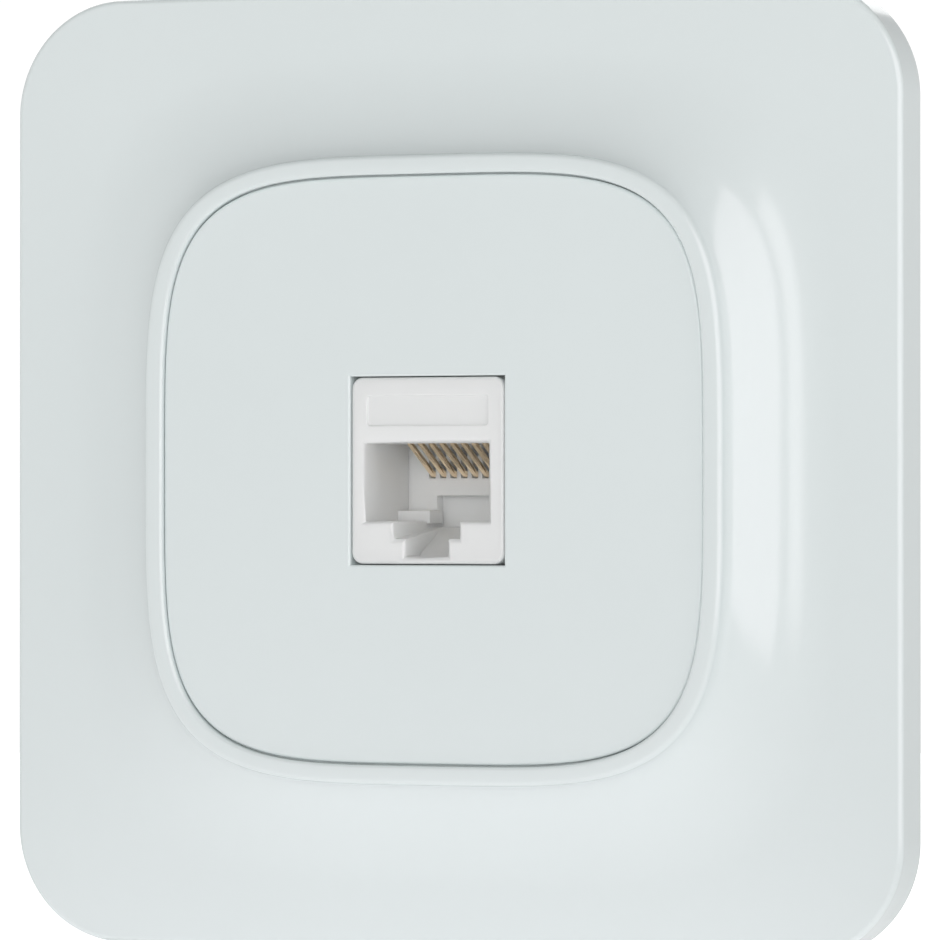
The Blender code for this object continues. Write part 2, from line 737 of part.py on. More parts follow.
def make_idc_block():
    """Terminal block: a base with two slotted towers that guide the cable's wires."""
    base = box(
        "idc_block",
        (-COLLAR_HALF_X, BLOCK_FRONT, -COLLAR_HALF_Z),
        (COLLAR_HALF_X, BLOCK_FRONT + BLOCK_BASE, COLLAR_HALF_Z),
        PARTS,
    )
    near, far = TOWER_X
    for side in (-1, 1):
        low, high = sorted((side * near, side * far))
        tower = box(f"tower_{side}", (low, BLOCK_FRONT + BLOCK_BASE - 0.4, -7.8), (high, TOWER_BACK, 7.8))
        join(base, tower)
    levels = [(k - 1.5) * TERMINAL_PITCH for k in range(4)]
    pockets = []
    for side in (-1, 1):
        for level in levels:
            low = (side * TERMINAL_X - 0.5, BLOCK_FRONT + 1.0, level - 1.4)
            high = (side * TERMINAL_X + 0.5, TOWER_BACK + 1.0, level + 1.4)
            pockets.append((low, high))
    reach, slot_front, slot_back = TOWER_X[1] + 1.4, TOWER_BACK - 6.0, TOWER_BACK + 1.0
    slots = [((-reach, slot_front, level - 0.45), (reach, slot_back, level + 0.45)) for level in levels]
    cut(base, boxes("terminal_pockets", pockets), boxes("wire_slots", slots))
    return finish(base, WHITE_MATT)


def make_idc_terminal(number):
    """Forked blade that bites through a wire's insulation."""
    side = -1 if number <= 4 else 1
    level = ((number - 1) % 4 - 1.5) * TERMINAL_PITCH
    front, back = BLOCK_FRONT + 1.0 + GAP, TOWER_BACK - 1.0
    outline_half = 1.1
    name = f"idc_terminal_{number}"
    blade = box(
        name,
        (side * TERMINAL_X - 0.2, front, level - outline_half),
        (side * TERMINAL_X + 0.2, back, level + outline_half),
        PARTS,
    )
    fork = box(
        name + "_fork",
        (side * TERMINAL_X - 1.0, back - 4.5, level - 0.2),
        (side * TERMINAL_X + 1.0, back + 1.0, level + 0.2),
    )
    cut(blade, fork)
    return finish(blade, TINNED)


def make_dust_cap():
    """Push-on cap over the terminals, open at both ends for the cable."""
    half_x = TOWER_X[1] + GAP
    back = TOWER_BACK + GAP
    cap = box(
        "dust_cap",
        (-half_x - CAP_WALL, CAP_FRONT, -8.4),
        (half_x + CAP_WALL, back + CAP_WALL, 8.4),
        PARTS,
    )
    inside = box("cap_inside", (-half_x, CAP_FRONT - 1.0, -9.0), (half_x, back, 9.0))
    grip = box("cap_grip", (-4.0, back + CAP_WALL - 0.3, -1.0), (4.0, back + CAP_WALL + 1.6, 1.0))
    cut(cap, inside)
    join(cap, grip)
    return finish(cap, WHITE_MATT, (0.0, back, 0.0))


clear_scene()
PARTS = make_collection(GROUP_NAME)
CUTTERS = make_collection("cutters")

WHITE_GLOSS = make_material("frame_plastic", (0.72, 0.77, 0.77), 0.22)
WHITE_SATIN = make_material("plate_plastic", (0.71, 0.76, 0.76), 0.35)
WHITE_MATT = make_material("jack_plastic", (0.79, 0.80, 0.80), 0.45)
ZINC_STEEL = make_material("zinc_steel", (0.56, 0.57, 0.58), 0.38, 1.0)
GOLD = make_material("gold_plating", (0.78, 0.50, 0.24), 0.28, 1.0)
TINNED = make_material("tinned_bronze", (0.66, 0.64, 0.60), 0.35, 1.0)
BOARD_GREEN = make_material("board_laminate", (0.03, 0.16, 0.07), 0.5)

make_cover_frame()
make_centre_plate()
make_support_ring()
make_jack_carrier()
for claw_side, claw_name in ((-1, "left"), (1, "right")):
    make_claw(claw_side, claw_name)
    make_claw_pin(claw_side, claw_name)
    make_claw_screw(claw_side, claw_name)
    make_claw_nut(claw_side, claw_name)
make_jack_housing()
make_jack_latch()
make_contact_sled()
for contact_number in range(1, CONTACTS + 1):
    make_contact(contact_number)
make_jack_board()
make_idc_block()
for terminal_number in range(1, 9):
    make_idc_terminal(terminal_number)
make_dust_cap()
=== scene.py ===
"""Looks of a flush wall outlet with one network jack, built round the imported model.

X points right and Z up as seen from the room, +Y points into the wall, and the wall plane is y = 0.
Lengths named in capitals are in millimetres; meshes are made in metres.
"""

import math

import bmesh
import bpy
from mathutils import Matrix, Vector


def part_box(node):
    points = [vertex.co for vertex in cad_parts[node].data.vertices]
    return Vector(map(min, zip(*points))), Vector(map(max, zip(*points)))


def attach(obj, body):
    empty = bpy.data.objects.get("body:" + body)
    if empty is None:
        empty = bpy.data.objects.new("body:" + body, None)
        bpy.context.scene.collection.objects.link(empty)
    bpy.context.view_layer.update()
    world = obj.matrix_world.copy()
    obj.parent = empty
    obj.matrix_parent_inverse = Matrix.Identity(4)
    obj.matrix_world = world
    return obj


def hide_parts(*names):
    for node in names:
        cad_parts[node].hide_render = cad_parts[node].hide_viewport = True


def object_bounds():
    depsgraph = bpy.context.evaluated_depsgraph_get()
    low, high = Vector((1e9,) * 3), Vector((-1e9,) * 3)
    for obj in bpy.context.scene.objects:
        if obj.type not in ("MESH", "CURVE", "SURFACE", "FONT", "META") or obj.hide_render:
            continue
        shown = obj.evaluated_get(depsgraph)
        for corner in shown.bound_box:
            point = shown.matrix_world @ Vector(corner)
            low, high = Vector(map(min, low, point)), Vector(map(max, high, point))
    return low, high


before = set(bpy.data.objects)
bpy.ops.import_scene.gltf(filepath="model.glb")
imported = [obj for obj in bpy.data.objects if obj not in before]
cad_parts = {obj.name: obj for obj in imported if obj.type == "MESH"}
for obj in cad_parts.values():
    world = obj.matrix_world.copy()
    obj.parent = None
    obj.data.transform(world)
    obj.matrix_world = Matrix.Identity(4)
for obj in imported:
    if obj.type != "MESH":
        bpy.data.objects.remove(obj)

cad_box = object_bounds()
MM = 0.001

# Cover frame and centre plate
FRAME_CORNER = 10.2
BORDER_FRONT = -4.7
FRAME_WALL = 2.0
COVE_FOOT = 36.2
COVE_STEPS = 28
COVE_POWER = 0.9
RIM_WIDTH = 1.65
RIM_SQUIRCLE = 4.05
RIM_GAP = 0.15
RIM_SIDE_GAP = 0.03
LEDGE_GAP = 0.02
LEDGE_DEPTH = 0.75
RIM_FILLET = 0.45
LIP_BACK = -5.0
LIP_WIDTH = 0.4
HOLLOW_FOOT = 2.6
HOLLOW_RISE = 0.9
SNAP_NEAR = 0.7
SNAP_FAR = 2.3
SNAP_HALF = 4.0
SNAP_BACK = -0.4
SKIRT_BACK = -4.0
SKIRT_WALL = 1.4
PLATE_THICK = 2.0
MOUTH_BACK = -4.2
MOUTH_WALL = 1.3
MOUTH_ROUND = 0.2
SQUIRCLE = 4.3
EDGE_FILLET = 0.5
FINE_FILLET = 0.3
OUTLINE_STEPS = 72

# Jack front and its socket
JACK_HALF_X = 7.2
JACK_HALF_Z = 8.1
JACK_FRONT = -8.5
JACK_CORNER = 1.0
JACK_GAP = 0.1
JACK_SHIFT = Vector((-0.17, 0.0, -0.07))
SOCKET_SHIFT = Vector((-0.13, 0.0, 0.0))
CAVITY_HALF_X = 5.85
CAVITY_TOP = 2.4
CAVITY_FLOOR = -4.4
SHOULDER_HALF_X = 3.1
SHOULDER_FLOOR = -6.0
KEYWAY_HALF_X = 2.0
KEYWAY_FLOOR = -7.45
FACE_ROUND = 0.3
MOUTH_CHAMFER = 0.38
NOTCH_CHAMFER = 0.34
LABEL_FIELD = (5.7, 3.9, 6.5)
LABEL_DEPTH = 0.25
LIP_THICK = 3.4
RAMP_TOP = -4.95
RAMP_BACK = 0.2
NOTCH_BACK = 2.6
POCKET_FRONT = 4.6
COLLAR_FRONT = 3.4
COLLAR_BACK = 7.4
COLLAR_HALF_X = 8.0
COLLAR_HALF_Z = 8.9
LUG_HALF = 3.0
LUG_Z = (-9.8, -7.8)
UNDERCUT = 0.22
CONTACT_WELL = ((-4.5, -4.6, 0.0), (4.5, -2.8, 3.7))
REAR_HALF_X = 6.6
REAR_HALF_Z = 7.2
LATCH_SLOT_HALF = 3.6
LATCH_SLOT_TOP = 12.0
LATCH_HALF = 3.2
LATCH_PROFILE = (
    (6.6, 8.4),
    (6.6, 10.0),
    (1.6, 10.0),
    (1.0, 10.6),
    (-0.2, 10.6),
    (-1.0, 9.8),
    (-1.0, 9.0),
    (5.0, 9.0),
    (5.2, 8.4),
)

# Contact sled and springs
SLED_FRONT = 1.05
SLED_BACK = 5.4
SLED_FLANGE_BACK = 5.9
APRON_BACK = 4.0
SLED_RECESS = (3.1, 2.35, -2.15)
SEAT = 0.2
STOP_FRONT = -1.3
STOP_TOP = -3.45
STOP_END = 2.78
COMB_BACK = 2.7
COMB_FLOOR = -0.62
COMB_SLOT = 0.6
CONTACTS = 8
CONTACT_PITCH = 1.02
CONTACT_WIDTH = 0.42
CONTACT_THICK = 0.4
CONTACT_ROUND = 0.07
CONTACT_BEND = 0.3
CONTACT_PATH = ((-3.0, 3.15), (-4.2, 3.15), (-4.2, 2.5), (1.05, -0.3), (1.4, -0.38), (1.6, -0.1))

# Board, terminals and dust cap
BOARD_HALF_X = 6.3
BOARD_HALF_Z = 6.9
BOARD_FRONT = 6.2
BOARD_BACK = 7.2
DRILL = (5.0, 8.0)
HOLE_RADIUS = 0.35
PAD_DEPTH = (6.18, 7.22)
PAD_RADIUS = 0.62
PAD_BORE = 0.33
BLOCK_FRONT = 7.7
BLOCK_BACK = 9.5
TOWER_BACK = 18.0
TOWER_X = (3.4, 7.6)
TERMINAL_X = 5.5
TERMINAL_PITCH = 3.9
TERMINALS_PER_SIDE = 4
TOWER_HALF_Z = 7.8
POCKET_HALF_X = 0.5
POCKET_HALF_Z = 1.4
WIRE_SLOT = 0.45
WIRE_FLARE = 1.35
WIRE_SLOT_DEPTH = 6.0
BLADE_HALF = 1.1
BLADE_GAP = 0.16
BLADE_MOUTH = 0.75
BLADE_HALF_THICK = 0.2
CAP_WALL = 0.8
CAP_FRONT = 12.0
CAP_HALF_Z = 8.4
GRIP_HALF_X = 4.0
GRIP_HEIGHT = 1.6
GROOVE_FLOOR = 1.2
GROOVE_HALF = 0.25
GROOVES = (-2, -1, 0, 1, 2)

# Support ring, carrier and claws
GAP = 0.3
RING_SIDE = 71.0
RING_THICK = 1.0
RING_CORNER = 6.0
RING_OPENING = 16.0
RING_OPENING_CORNER = 1.5
SPARE_HOLE_AT = 36.0
SPARE_HOLE_RADIUS = 1.6
SCREW_HOLE_RADIUS = 1.95
EAR_RADIUS = 2.0
SLOT_RADIUS = 30.0
SLOT_LENGTH = 9.0
SLOT_WIDTH = 3.8
CARRIER_HALF = 17.9
CARRIER_FRONT = -3.3
FLANGE_BACK = -1.3
SLEEVE_X = 10.6
SLEEVE_Z = 12.6
SLEEVE_WALL = 1.6
RIB_X = (5.0, 6.6)
RIB_SHORT = 4.0
SLEEVE_BACK = 9.0
ARM_X = 13.0
ARM_Z = 14.6
ARM_HALF = 3.0
ARM_THICK = 1.2
ARM_REACH = 0.6
PIVOT_X = 18.6
PIVOT_Y = 4.0
CLAW_STEEL = 1.2
CLAW_HALF_Z = 7.6
CLAW_BACK = 16.5
CLAW_TIP = 26.0
CLAW_BEND = 1.4
CLAW_SLOT_HALF = 2.3
TOOTH_LEVELS = (-5.4, -1.8, 1.8, 5.4)
TOOTH_HALF = 1.1
KNUCKLE_WALL = 0.9
PIN_RADIUS = 1.0
SCREW_X = 22.4
SCREW_RADIUS = 1.6
SCREW_BACK = 21.5
THREAD_PITCH = 0.5
THREAD_DEPTH = 0.28
THREAD_ROWS_PER_TURN = 8
THREAD_SIDES = 32
HEAD_THICK = 1.9
HEAD_SLOT_HALF = 0.45
NUT_HALF = 3.3
NUT_FRONT = 0.5
NUT_BACK = 3.1
NUT_SINK_RADIUS = 2.4
NUT_SINK_FLOOR = 1.85

# Camera: degrees and metres, but its lens and sensor in millimetres
CAMERA_AZIMUTH = 23.34
CAMERA_ELEVATION = -0.385
CAMERA_DISTANCE = 0.540
CAMERA_AIM = (0.0002, 0.00003)
CAMERA_LENS = 235.4
CAMERA_SENSOR = 36.0

# World and floor: brightness, the world's fade by height, and the floor's size and place in metres
WORLD_SEEN = 1.05
WORLD_BELOW = 0.82
WORLD_ABOVE = 0.3
WORLD_FADE = (-0.5, 0.8)
FLOOR_RADIUS = 0.45
FLOOR_CLEARANCE = 0.0003
FLOOR_TONE = 0.86
FLOOR_SEEN = 0.75
FLOOR_GLOW = 0.28

# Area lights: azimuth and elevation in degrees, distance, width and height in metres, brightness of
# the face, tint, and which reflections see it
NEUTRAL = (1.0, 1.0, 1.0)
SHEEN_TINT = (1.0, 0.88, 0.94)
LIGHTS = {
    "softbox_right": (47.3, 12.5, 1.0, 1.30, 0.75, 0.72, NEUTRAL, "both"),
    "softbox_front": (6.5, 6.0, 1.0, 0.13, 0.32, 1.5, NEUTRAL, "both"),
    "fill_right": (92.0, 0.0, 1.2, 0.8, 0.8, 0.8, NEUTRAL, "both"),
    "sheen_right": (47.3, 12.5, 1.01, 1.30, 0.75, 1.95, SHEEN_TINT, "gloss"),
    "sheen_front": (6.5, 6.0, 1.01, 0.13, 0.32, 1.2, SHEEN_TINT, "gloss"),
    "fill_left": (-80.0, 5.0, 1.2, 1.2, 1.2, 0.25, NEUTRAL, "both"),
    "softbox_back": (205.0, 35.0, 1.2, 1.0, 1.0, 1.3, NEUTRAL, "both"),
    "key_front": (9.0, 4.0, 1.05, 0.45, 0.45, 3.0, NEUTRAL, "diffuse"),
    "table_glow": (0.0, -90.0, 0.0417, 0.086, 0.05, 0.21, SHEEN_TINT, "diffuse"),
}
TABLE_GLOW_Y = -0.0275


def box_mm(node):
    """A CAD node's box in millimetres."""
    low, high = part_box(node)
    return low / MM, high / MM


frame_low, frame_high = box_mm("cover_frame")
plate_low, plate_high = box_mm("centre_plate")
FRAME_HALF = frame_high.x
RIM_FRONT = frame_low.y
PLATE_HALF = plate_high.x
PLATE_FRONT = plate_low.y


# ---------------- camera, light and floor

def outwards(azimuth, elevation):
    """The direction from the object towards a place, azimuth 0 being straight in front."""
    a, e = math.radians(azimuth), math.radians(elevation)
    return Vector((math.sin(a) * math.cos(e), -math.cos(a) * math.cos(e), math.sin(e)))


def place_camera():
    """The photograph's view: from the right, nearly level, and close."""
    back = outwards(CAMERA_AZIMUTH, CAMERA_ELEVATION)
    turn = math.radians(CAMERA_AZIMUTH)
    right = Vector((math.cos(turn), math.sin(turn), 0.0))
    data = bpy.data.cameras.new("camera")
    data.lens = CAMERA_LENS
    data.sensor_width = CAMERA_SENSOR
    data.clip_start = 0.01
    data.clip_end = 20.0
    camera = bpy.data.objects.new("camera", data)
    bpy.context.scene.collection.objects.link(camera)
    aim = right * CAMERA_AIM[0] + Vector((0.0, 0.0, CAMERA_AIM[1]))
    camera.location = aim + back * CAMERA_DISTANCE
    camera.rotation_euler = (-back).to_track_quat("-Z", "Y").to_euler()
    bpy.context.scene.camera = camera


def softbox(name, azimuth, elevation, distance, width, height, radiance, tint, seen_by):
    """An area light that faces the object, given by its direction and how bright its face is."""
    back = outwards(azimuth, elevation)
    data = bpy.data.lights.new(name, "AREA")
    data.shape = "RECTANGLE"
    data.size = width
    data.size_y = height
    data.energy = radiance * math.pi * width * height
    light = bpy.data.objects.new(name, data)
    bpy.context.scene.collection.objects.link(light)
    light.location = back * distance
    light.rotation_euler = (-back).to_track_quat("-Z", "Y").to_euler()
    data.color = tint
    light.visible_diffuse = seen_by != "gloss"
    light.visible_glossy = seen_by != "diffuse"
    light.visible_camera = False
    return light


def set_lights():
    """Soft boxes right, front and behind, fills, a key, and a glow on the table before the frame."""
    lights = {name: softbox(name, *settings) for name, settings in LIGHTS.items()}
    lights["table_glow"].location.y = TABLE_GLOW_Y


def set_world():
    """White to look at, and as light brighter from below than from above."""
    world = bpy.data.worlds.new("studio")
    bpy.context.scene.world = world
    world.use_nodes = True
    nodes, links = world.node_tree.nodes, world.node_tree.links
    nodes.clear()
    out = nodes.new("ShaderNodeOutputWorld")
    mix = nodes.new("ShaderNodeMixShader")
    seen = nodes.new("ShaderNodeBackground")
    seen.inputs["Color"].default_value = (1.0, 1.0, 1.0, 1.0)
    seen.inputs["Strength"].default_value = WORLD_SEEN
    light = nodes.new("ShaderNodeBackground")
    light.inputs["Strength"].default_value = 1.0
    path = nodes.new("ShaderNodeLightPath")
    coords = nodes.new("ShaderNodeTexCoord")
    parts = nodes.new("ShaderNodeSeparateXYZ")
    ramp = nodes.new("ShaderNodeMapRange")
    ramp.interpolation_type = "SMOOTHSTEP"
    ramp.inputs["From Min"].default_value = WORLD_FADE[0]
    ramp.inputs["From Max"].default_value = WORLD_FADE[1]
    ramp.inputs["To Min"].default_value = WORLD_BELOW
    ramp.inputs["To Max"].default_value = WORLD_ABOVE
    links.new(coords.outputs["Generated"], parts.inputs["Vector"])
    links.new(parts.outputs["Z"], ramp.inputs["Value"])
    links.new(ramp.outputs["Result"], light.inputs["Color"])
    links.new(path.outputs["Is Camera Ray"], mix.inputs["Fac"])
    links.new(light.outputs["Background"], mix.inputs[1])
    links.new(seen.outputs["Background"], mix.inputs[2])
    links.new(mix.outputs["Shader"], out.inputs["Surface"])


def make_floor():
    """A plain pale floor just under the frame's bottom edge."""
    bm = bmesh.new()
    bmesh.ops.create_circle(bm, cap_ends=True, segments=96, radius=FLOOR_RADIUS)
    mesh = bpy.data.meshes.new("floor")
    bm.to_mesh(mesh)
    bm.free()
    floor = bpy.data.objects.new("floor", mesh)
    bpy.context.scene.collection.objects.link(floor)
    floor.location = (0.0, 0.0, cad_box[0].z - FLOOR_CLEARANCE)
    material = bpy.data.materials.new("floor_white")
    material.use_nodes = True
    shader = material.node_tree.nodes["Principled BSDF"]
    shader.inputs["Base Color"].default_value = (FLOOR_TONE, FLOOR_TONE, FLOOR_TONE, 1.0)
    shader.inputs["Roughness"].default_value = 0.9
    shader.inputs["Emission Color"].default_value = (1.0, 1.0, 1.0, 1.0)
    nodes, links = material.node_tree.nodes, material.node_tree.links
    path = nodes.new("ShaderNodeLightPath")
    glow = nodes.new("ShaderNodeMapRange")
    glow.inputs["To Min"].default_value = FLOOR_GLOW
    glow.inputs["To Max"].default_value = FLOOR_SEEN
    links.new(path.outputs["Is Camera Ray"], glow.inputs["Value"])
    links.new(glow.outputs["Result"], shader.inputs["Emission Strength"])
    mesh.materials.append(material)
    floor.visible_glossy = False


place_camera()
set_world()
set_lights()
make_floor()
bpy.context.scene.view_settings.view_transform = "Standard"


# ---------------- materials

def principled(name, color, roughness, metallic=0.0):
    """A Principled material in one tone."""
    material = bpy.data.materials.new(name)
    material.use_nodes = True
    shader = material.node_tree.nodes["Principled BSDF"]
    shader.inputs["Base Color"].default_value = (*color, 1.0)
    shader.inputs["Roughness"].default_value = roughness
    shader.inputs["Metallic"].default_value = metallic
    return material


def add_noise(material, scale, detail=3.0):
    """Noise over the piece's own coordinates, in metres."""
    nodes, links = material.node_tree.nodes, material.node_tree.links
    coords = nodes.new("ShaderNodeTexCoord")
    noise = nodes.new("ShaderNodeTexNoise")
    noise.inputs["Scale"].default_value = scale
    noise.inputs["Detail"].default_value = detail
    links.new(coords.outputs["Object"], noise.inputs["Vector"])
    return noise


def vary(material, noise, socket, low, high):
    """Drive a shader input between two values by noise."""
    nodes, links = material.node_tree.nodes, material.node_tree.links
    spread = nodes.new("ShaderNodeMapRange")
    spread.inputs["From Min"].default_value = 0.3
    spread.inputs["From Max"].default_value = 0.7
    spread.inputs["To Min"].default_value = low
    spread.inputs["To Max"].default_value = high
    links.new(noise.outputs["Fac"], spread.inputs["Value"])
    links.new(spread.outputs["Result"], nodes["Principled BSDF"].inputs[socket])


def vary_color(material, noise, dark, light):
    """Blend two nearly equal colours by noise."""
    nodes, links = material.node_tree.nodes, material.node_tree.links
    ramp = nodes.new("ShaderNodeValToRGB")
    ramp.color_ramp.elements[0].position = 0.35
    ramp.color_ramp.elements[1].position = 0.65
    ramp.color_ramp.elements[0].color = (*dark, 1.0)
    ramp.color_ramp.elements[1].color = (*light, 1.0)
    links.new(noise.outputs["Fac"], ramp.inputs["Fac"])
    links.new(ramp.outputs["Color"], nodes["Principled BSDF"].inputs["Base Color"])


def add_bump(material, noise, distance, strength=0.2):
    """A fine surface relief."""
    nodes, links = material.node_tree.nodes, material.node_tree.links
    bump = nodes.new("ShaderNodeBump")
    bump.inputs["Strength"].default_value = strength
    bump.inputs["Distance"].default_value = distance
    links.new(noise.outputs["Fac"], bump.inputs["Height"])
    links.new(bump.outputs["Normal"], nodes["Principled BSDF"].inputs["Normal"])


def moulded_plastic(name, color, roughness, grain=0.000004, bleed=None):
    """Injection-moulded plastic: slightly uneven gloss, a fine grain and, with a bleed, some depth."""
    material = principled(name, color, roughness)
    inputs = material.node_tree.nodes["Principled BSDF"].inputs
    inputs["IOR"].default_value = 1.49
    if bleed:
        inputs["Subsurface Weight"].default_value = 0.5
        inputs["Subsurface Radius"].default_value = (1.0, 1.0, 1.0)
        inputs["Subsurface Scale"].default_value = bleed
    broad = add_noise(material, 60.0)
    fine = add_noise(material, 4000.0, 2.0)
    vary(material, broad, "Roughness", roughness * 0.9, roughness * 1.1)
    vary_color(material, broad, tuple(c * 0.992 for c in color), color)
    add_bump(material, fine, grain)
    return material


def plated_metal(name, color, roughness, spangle):
    """Plated metal: patches of slightly different tone, fine brushing and uneven gloss."""
    material = principled(name, color, roughness, 1.0)
    patches = add_noise(material, spangle)
    fine = add_noise(material, 2500.0, 4.0)
    vary(material, patches, "Roughness", roughness * 0.8, roughness * 1.25)
    vary_color(material, patches, tuple(c * 0.9 for c in color), color)
    add_bump(material, fine, 0.000006)
    return material


def solder_resist(name):
    """Green lacquer over copper tracks: lighter tracks stand slightly proud."""
    material = principled(name, (0.02, 0.13, 0.06), 0.35)
    tracks = add_noise(material, 500.0, 0.0)
    vary_color(material, tracks, (0.015, 0.11, 0.05), (0.03, 0.19, 0.085))
    add_bump(material, tracks, 0.00003)
    return material


GLOSS_WHITE = moulded_plastic("frame_gloss_white", (0.775, 0.832, 0.832), 0.13)
PLATE_WHITE = moulded_plastic("plate_white", (0.775, 0.835, 0.835), 0.22)
JACK_WHITE = moulded_plastic("jack_white", (0.845, 0.856, 0.852), 0.35, bleed=0.0018)
CARRIER_WHITE = moulded_plastic("carrier_white", (0.70, 0.71, 0.70), 0.5, 0.00001)
CAP_WHITE = moulded_plastic("cap_white", (0.76, 0.77, 0.765), 0.45, 0.000008)
ZINC = plated_metal("zinc_plate", (0.60, 0.61, 0.62), 0.34, 260.0)
GOLD = plated_metal("gold_flash", (0.95, 0.76, 0.53), 0.12, 900.0)
TIN = plated_metal("tin_plate", (0.68, 0.66, 0.62), 0.3, 500.0)
RESIST = solder_resist("board_green")


# ---------------- mesh helpers

def add_piece(name, bm, material, body, replaced, sharp_angle=35):
    """Turn a bmesh in millimetres into a piece that rides on a body and stands for its CAD nodes."""
    bmesh.ops.recalc_face_normals(bm, faces=bm.faces)
    bmesh.ops.scale(bm, vec=(MM, MM, MM), verts=bm.verts)
    mesh = bpy.data.meshes.new(name)
    bm.to_mesh(mesh)
    bm.free()
    mesh.materials.append(material)
    piece = bpy.data.objects.new(name, mesh)
    bpy.context.scene.collection.objects.link(piece)
    mesh.shade_smooth()
    mesh.set_sharp_from_angle(angle=math.radians(sharp_angle))
    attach(piece, body)
    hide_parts(*replaced)
    return piece


def outline_angles():
    """Polar angles round the outlines, closer together where the frame's corners turn."""
    inner = FRAME_HALF - FRAME_CORNER
    turn = math.atan2(inner, FRAME_HALF)
    first = [turn * k / OUTLINE_STEPS for k in range(OUTLINE_STEPS)]
    corner = [turn + (math.pi / 4 - turn) * k / (OUTLINE_STEPS // 3) for k in range(OUTLINE_STEPS // 3)]
    half = first + corner
    quarter = half + [math.pi / 4] + [math.pi / 2 - angle for angle in reversed(half[1:])]
    return [angle + math.pi / 2 * quadrant for quadrant in range(4) for angle in quarter]


ANGLES = outline_angles()


def squircle_ring(half, y, exponent=SQUIRCLE):
    """A superellipse of this half width."""
    ring = []
    for angle in ANGLES:
        c, s = math.cos(angle), math.sin(angle)
        reach = half / (abs(c) ** exponent + abs(s) ** exponent) ** (1 / exponent)
        ring.append((reach * c, y, reach * s))
    return ring


def square_ring(half, radius, y):
    """A square with round corners at the same polar angles."""
    ring = []
    inner = half - radius
    for angle in ANGLES:
        c, s = abs(math.cos(angle)), abs(math.sin(angle))
        reach = half / max(c, s)
        if reach * min(c, s) > inner:
            along = inner * (c + s)
            reach = along + math.sqrt(along**2 - 2 * inner**2 + radius**2)
        ring.append((reach * math.cos(angle), y, reach * math.sin(angle)))
    return ring


def fillet(start, corner, end, steps=5):
    """Points of a quarter turn from start to end round a corner, as (offset, y) pairs."""
    points = []
    for k in range(steps + 1):
        t = math.pi / 2 * k / steps
        share = (1 - math.cos(t), math.sin(t))
        points.append(
            tuple(s + (c - s) * share[1] + (e - c) * share[0] for s, c, e in zip(start, corner, end))
        )
    return points


def loft_into(bm, rings, closed=False, caps=False):
    """Faces between rings of equal count, with a face at each end when they are capped."""
    rows = [[bm.verts.new(point) for point in ring] for ring in rings]
    pairs = list(zip(rows, rows[1:]))
    if closed:
        pairs.append((rows[-1], rows[0]))
    count = len(rings[0])
    for first, second in pairs:
        for k in range(count):
            after = (k + 1) % count
            bm.faces.new((first[k], first[after], second[after], second[k]))
    if caps:
        bm.faces.new(rows[0])
        bm.faces.new(rows[-1])


def block(low, high):
    """A closed block between two corners."""
    low, high = Vector(low), Vector(high)
    bm = bmesh.new()
    place = Matrix.Translation((low + high) / 2) @ Matrix.Diagonal((*(high - low), 1.0))
    bmesh.ops.create_cube(bm, size=1.0, matrix=place)
    return bm


def rod(start, end, radius, end_radius=None, sides=40):
    """A closed cylinder or cone frustum between two points."""
    start, end = Vector(start), Vector(end)
    along = end - start
    turn = along.to_track_quat("Z", "Y").to_matrix().to_4x4()
    place = Matrix.Translation((start + end) / 2) @ turn
    tip = radius if end_radius is None else end_radius
    bm = bmesh.new()
    shape = {"segments": sides, "radius1": radius, "radius2": tip, "depth": along.length}
    bmesh.ops.create_cone(bm, cap_ends=True, matrix=place, **shape)
    return bm


def prism(outline, low, high, axis):
    """A closed outline swept along an axis; the outline's pairs are the other two axes in order."""
    place = {
        "x": lambda u, v, w: (w, u, v),
        "y": lambda u, v, w: (u, w, v),
        "z": lambda u, v, w: (u, v, w),
    }[axis]
    bm = bmesh.new()
    loft_into(bm, [[place(u, v, w) for u, v in outline] for w in (low, high)], caps=True)
    return bm


def gather(parts):
    """Several closed shapes that don't touch, as one."""
    whole = bmesh.new()
    for part in parts:
        mesh = bpy.data.meshes.new("part")
        part.to_mesh(mesh)
        part.free()
        whole.from_mesh(mesh)
        bpy.data.meshes.remove(mesh)
    return whole


def combine(base, adds=(), cuts=()):
    """Unite and cut closed shapes exactly, and return the result as a new bmesh."""
    shapes = []
    for bm in (base, *adds, *cuts):
        bmesh.ops.recalc_face_normals(bm, faces=bm.faces)
        mesh = bpy.data.meshes.new("shape")
        bm.to_mesh(mesh)
        bm.free()
        shape = bpy.data.objects.new("shape", mesh)
        bpy.context.scene.collection.objects.link(shape)
        shapes.append(shape)
    for k, other in enumerate(shapes[1:]):
        modifier = shapes[0].modifiers.new("Combine", "BOOLEAN")
        modifier.operation = "UNION" if k < len(adds) else "DIFFERENCE"
        modifier.solver = "EXACT"
        modifier.object = other
    bpy.context.view_layer.update()
    graph = bpy.context.evaluated_depsgraph_get()
    mesh = bpy.data.meshes.new_from_object(shapes[0].evaluated_get(graph))
    result = bmesh.new()
    result.from_mesh(mesh)
    bpy.data.meshes.remove(mesh)
    for shape in shapes:
        data = shape.data
        bpy.data.objects.remove(shape)
        bpy.data.meshes.remove(data)
    return result


def soften(bm, width, segments=2, angle=30):
    """Merge coplanar faces and round every edge sharper than the angle."""
    bmesh.ops.remove_doubles(bm, verts=bm.verts, dist=0.0005)
    bmesh.ops.dissolve_limit(bm, angle_limit=math.radians(0.5), verts=bm.verts, edges=bm.edges)
    bm.normal_update()
    sharp = [e for e in bm.edges if len(e.link_faces) == 2 and e.calc_face_angle() > math.radians(angle)]
    shape = {"offset": width, "segments": segments, "profile": 0.5}
    bmesh.ops.bevel(bm, geom=sharp, affect="EDGES", clamp_overlap=False, **shape)
    return bm


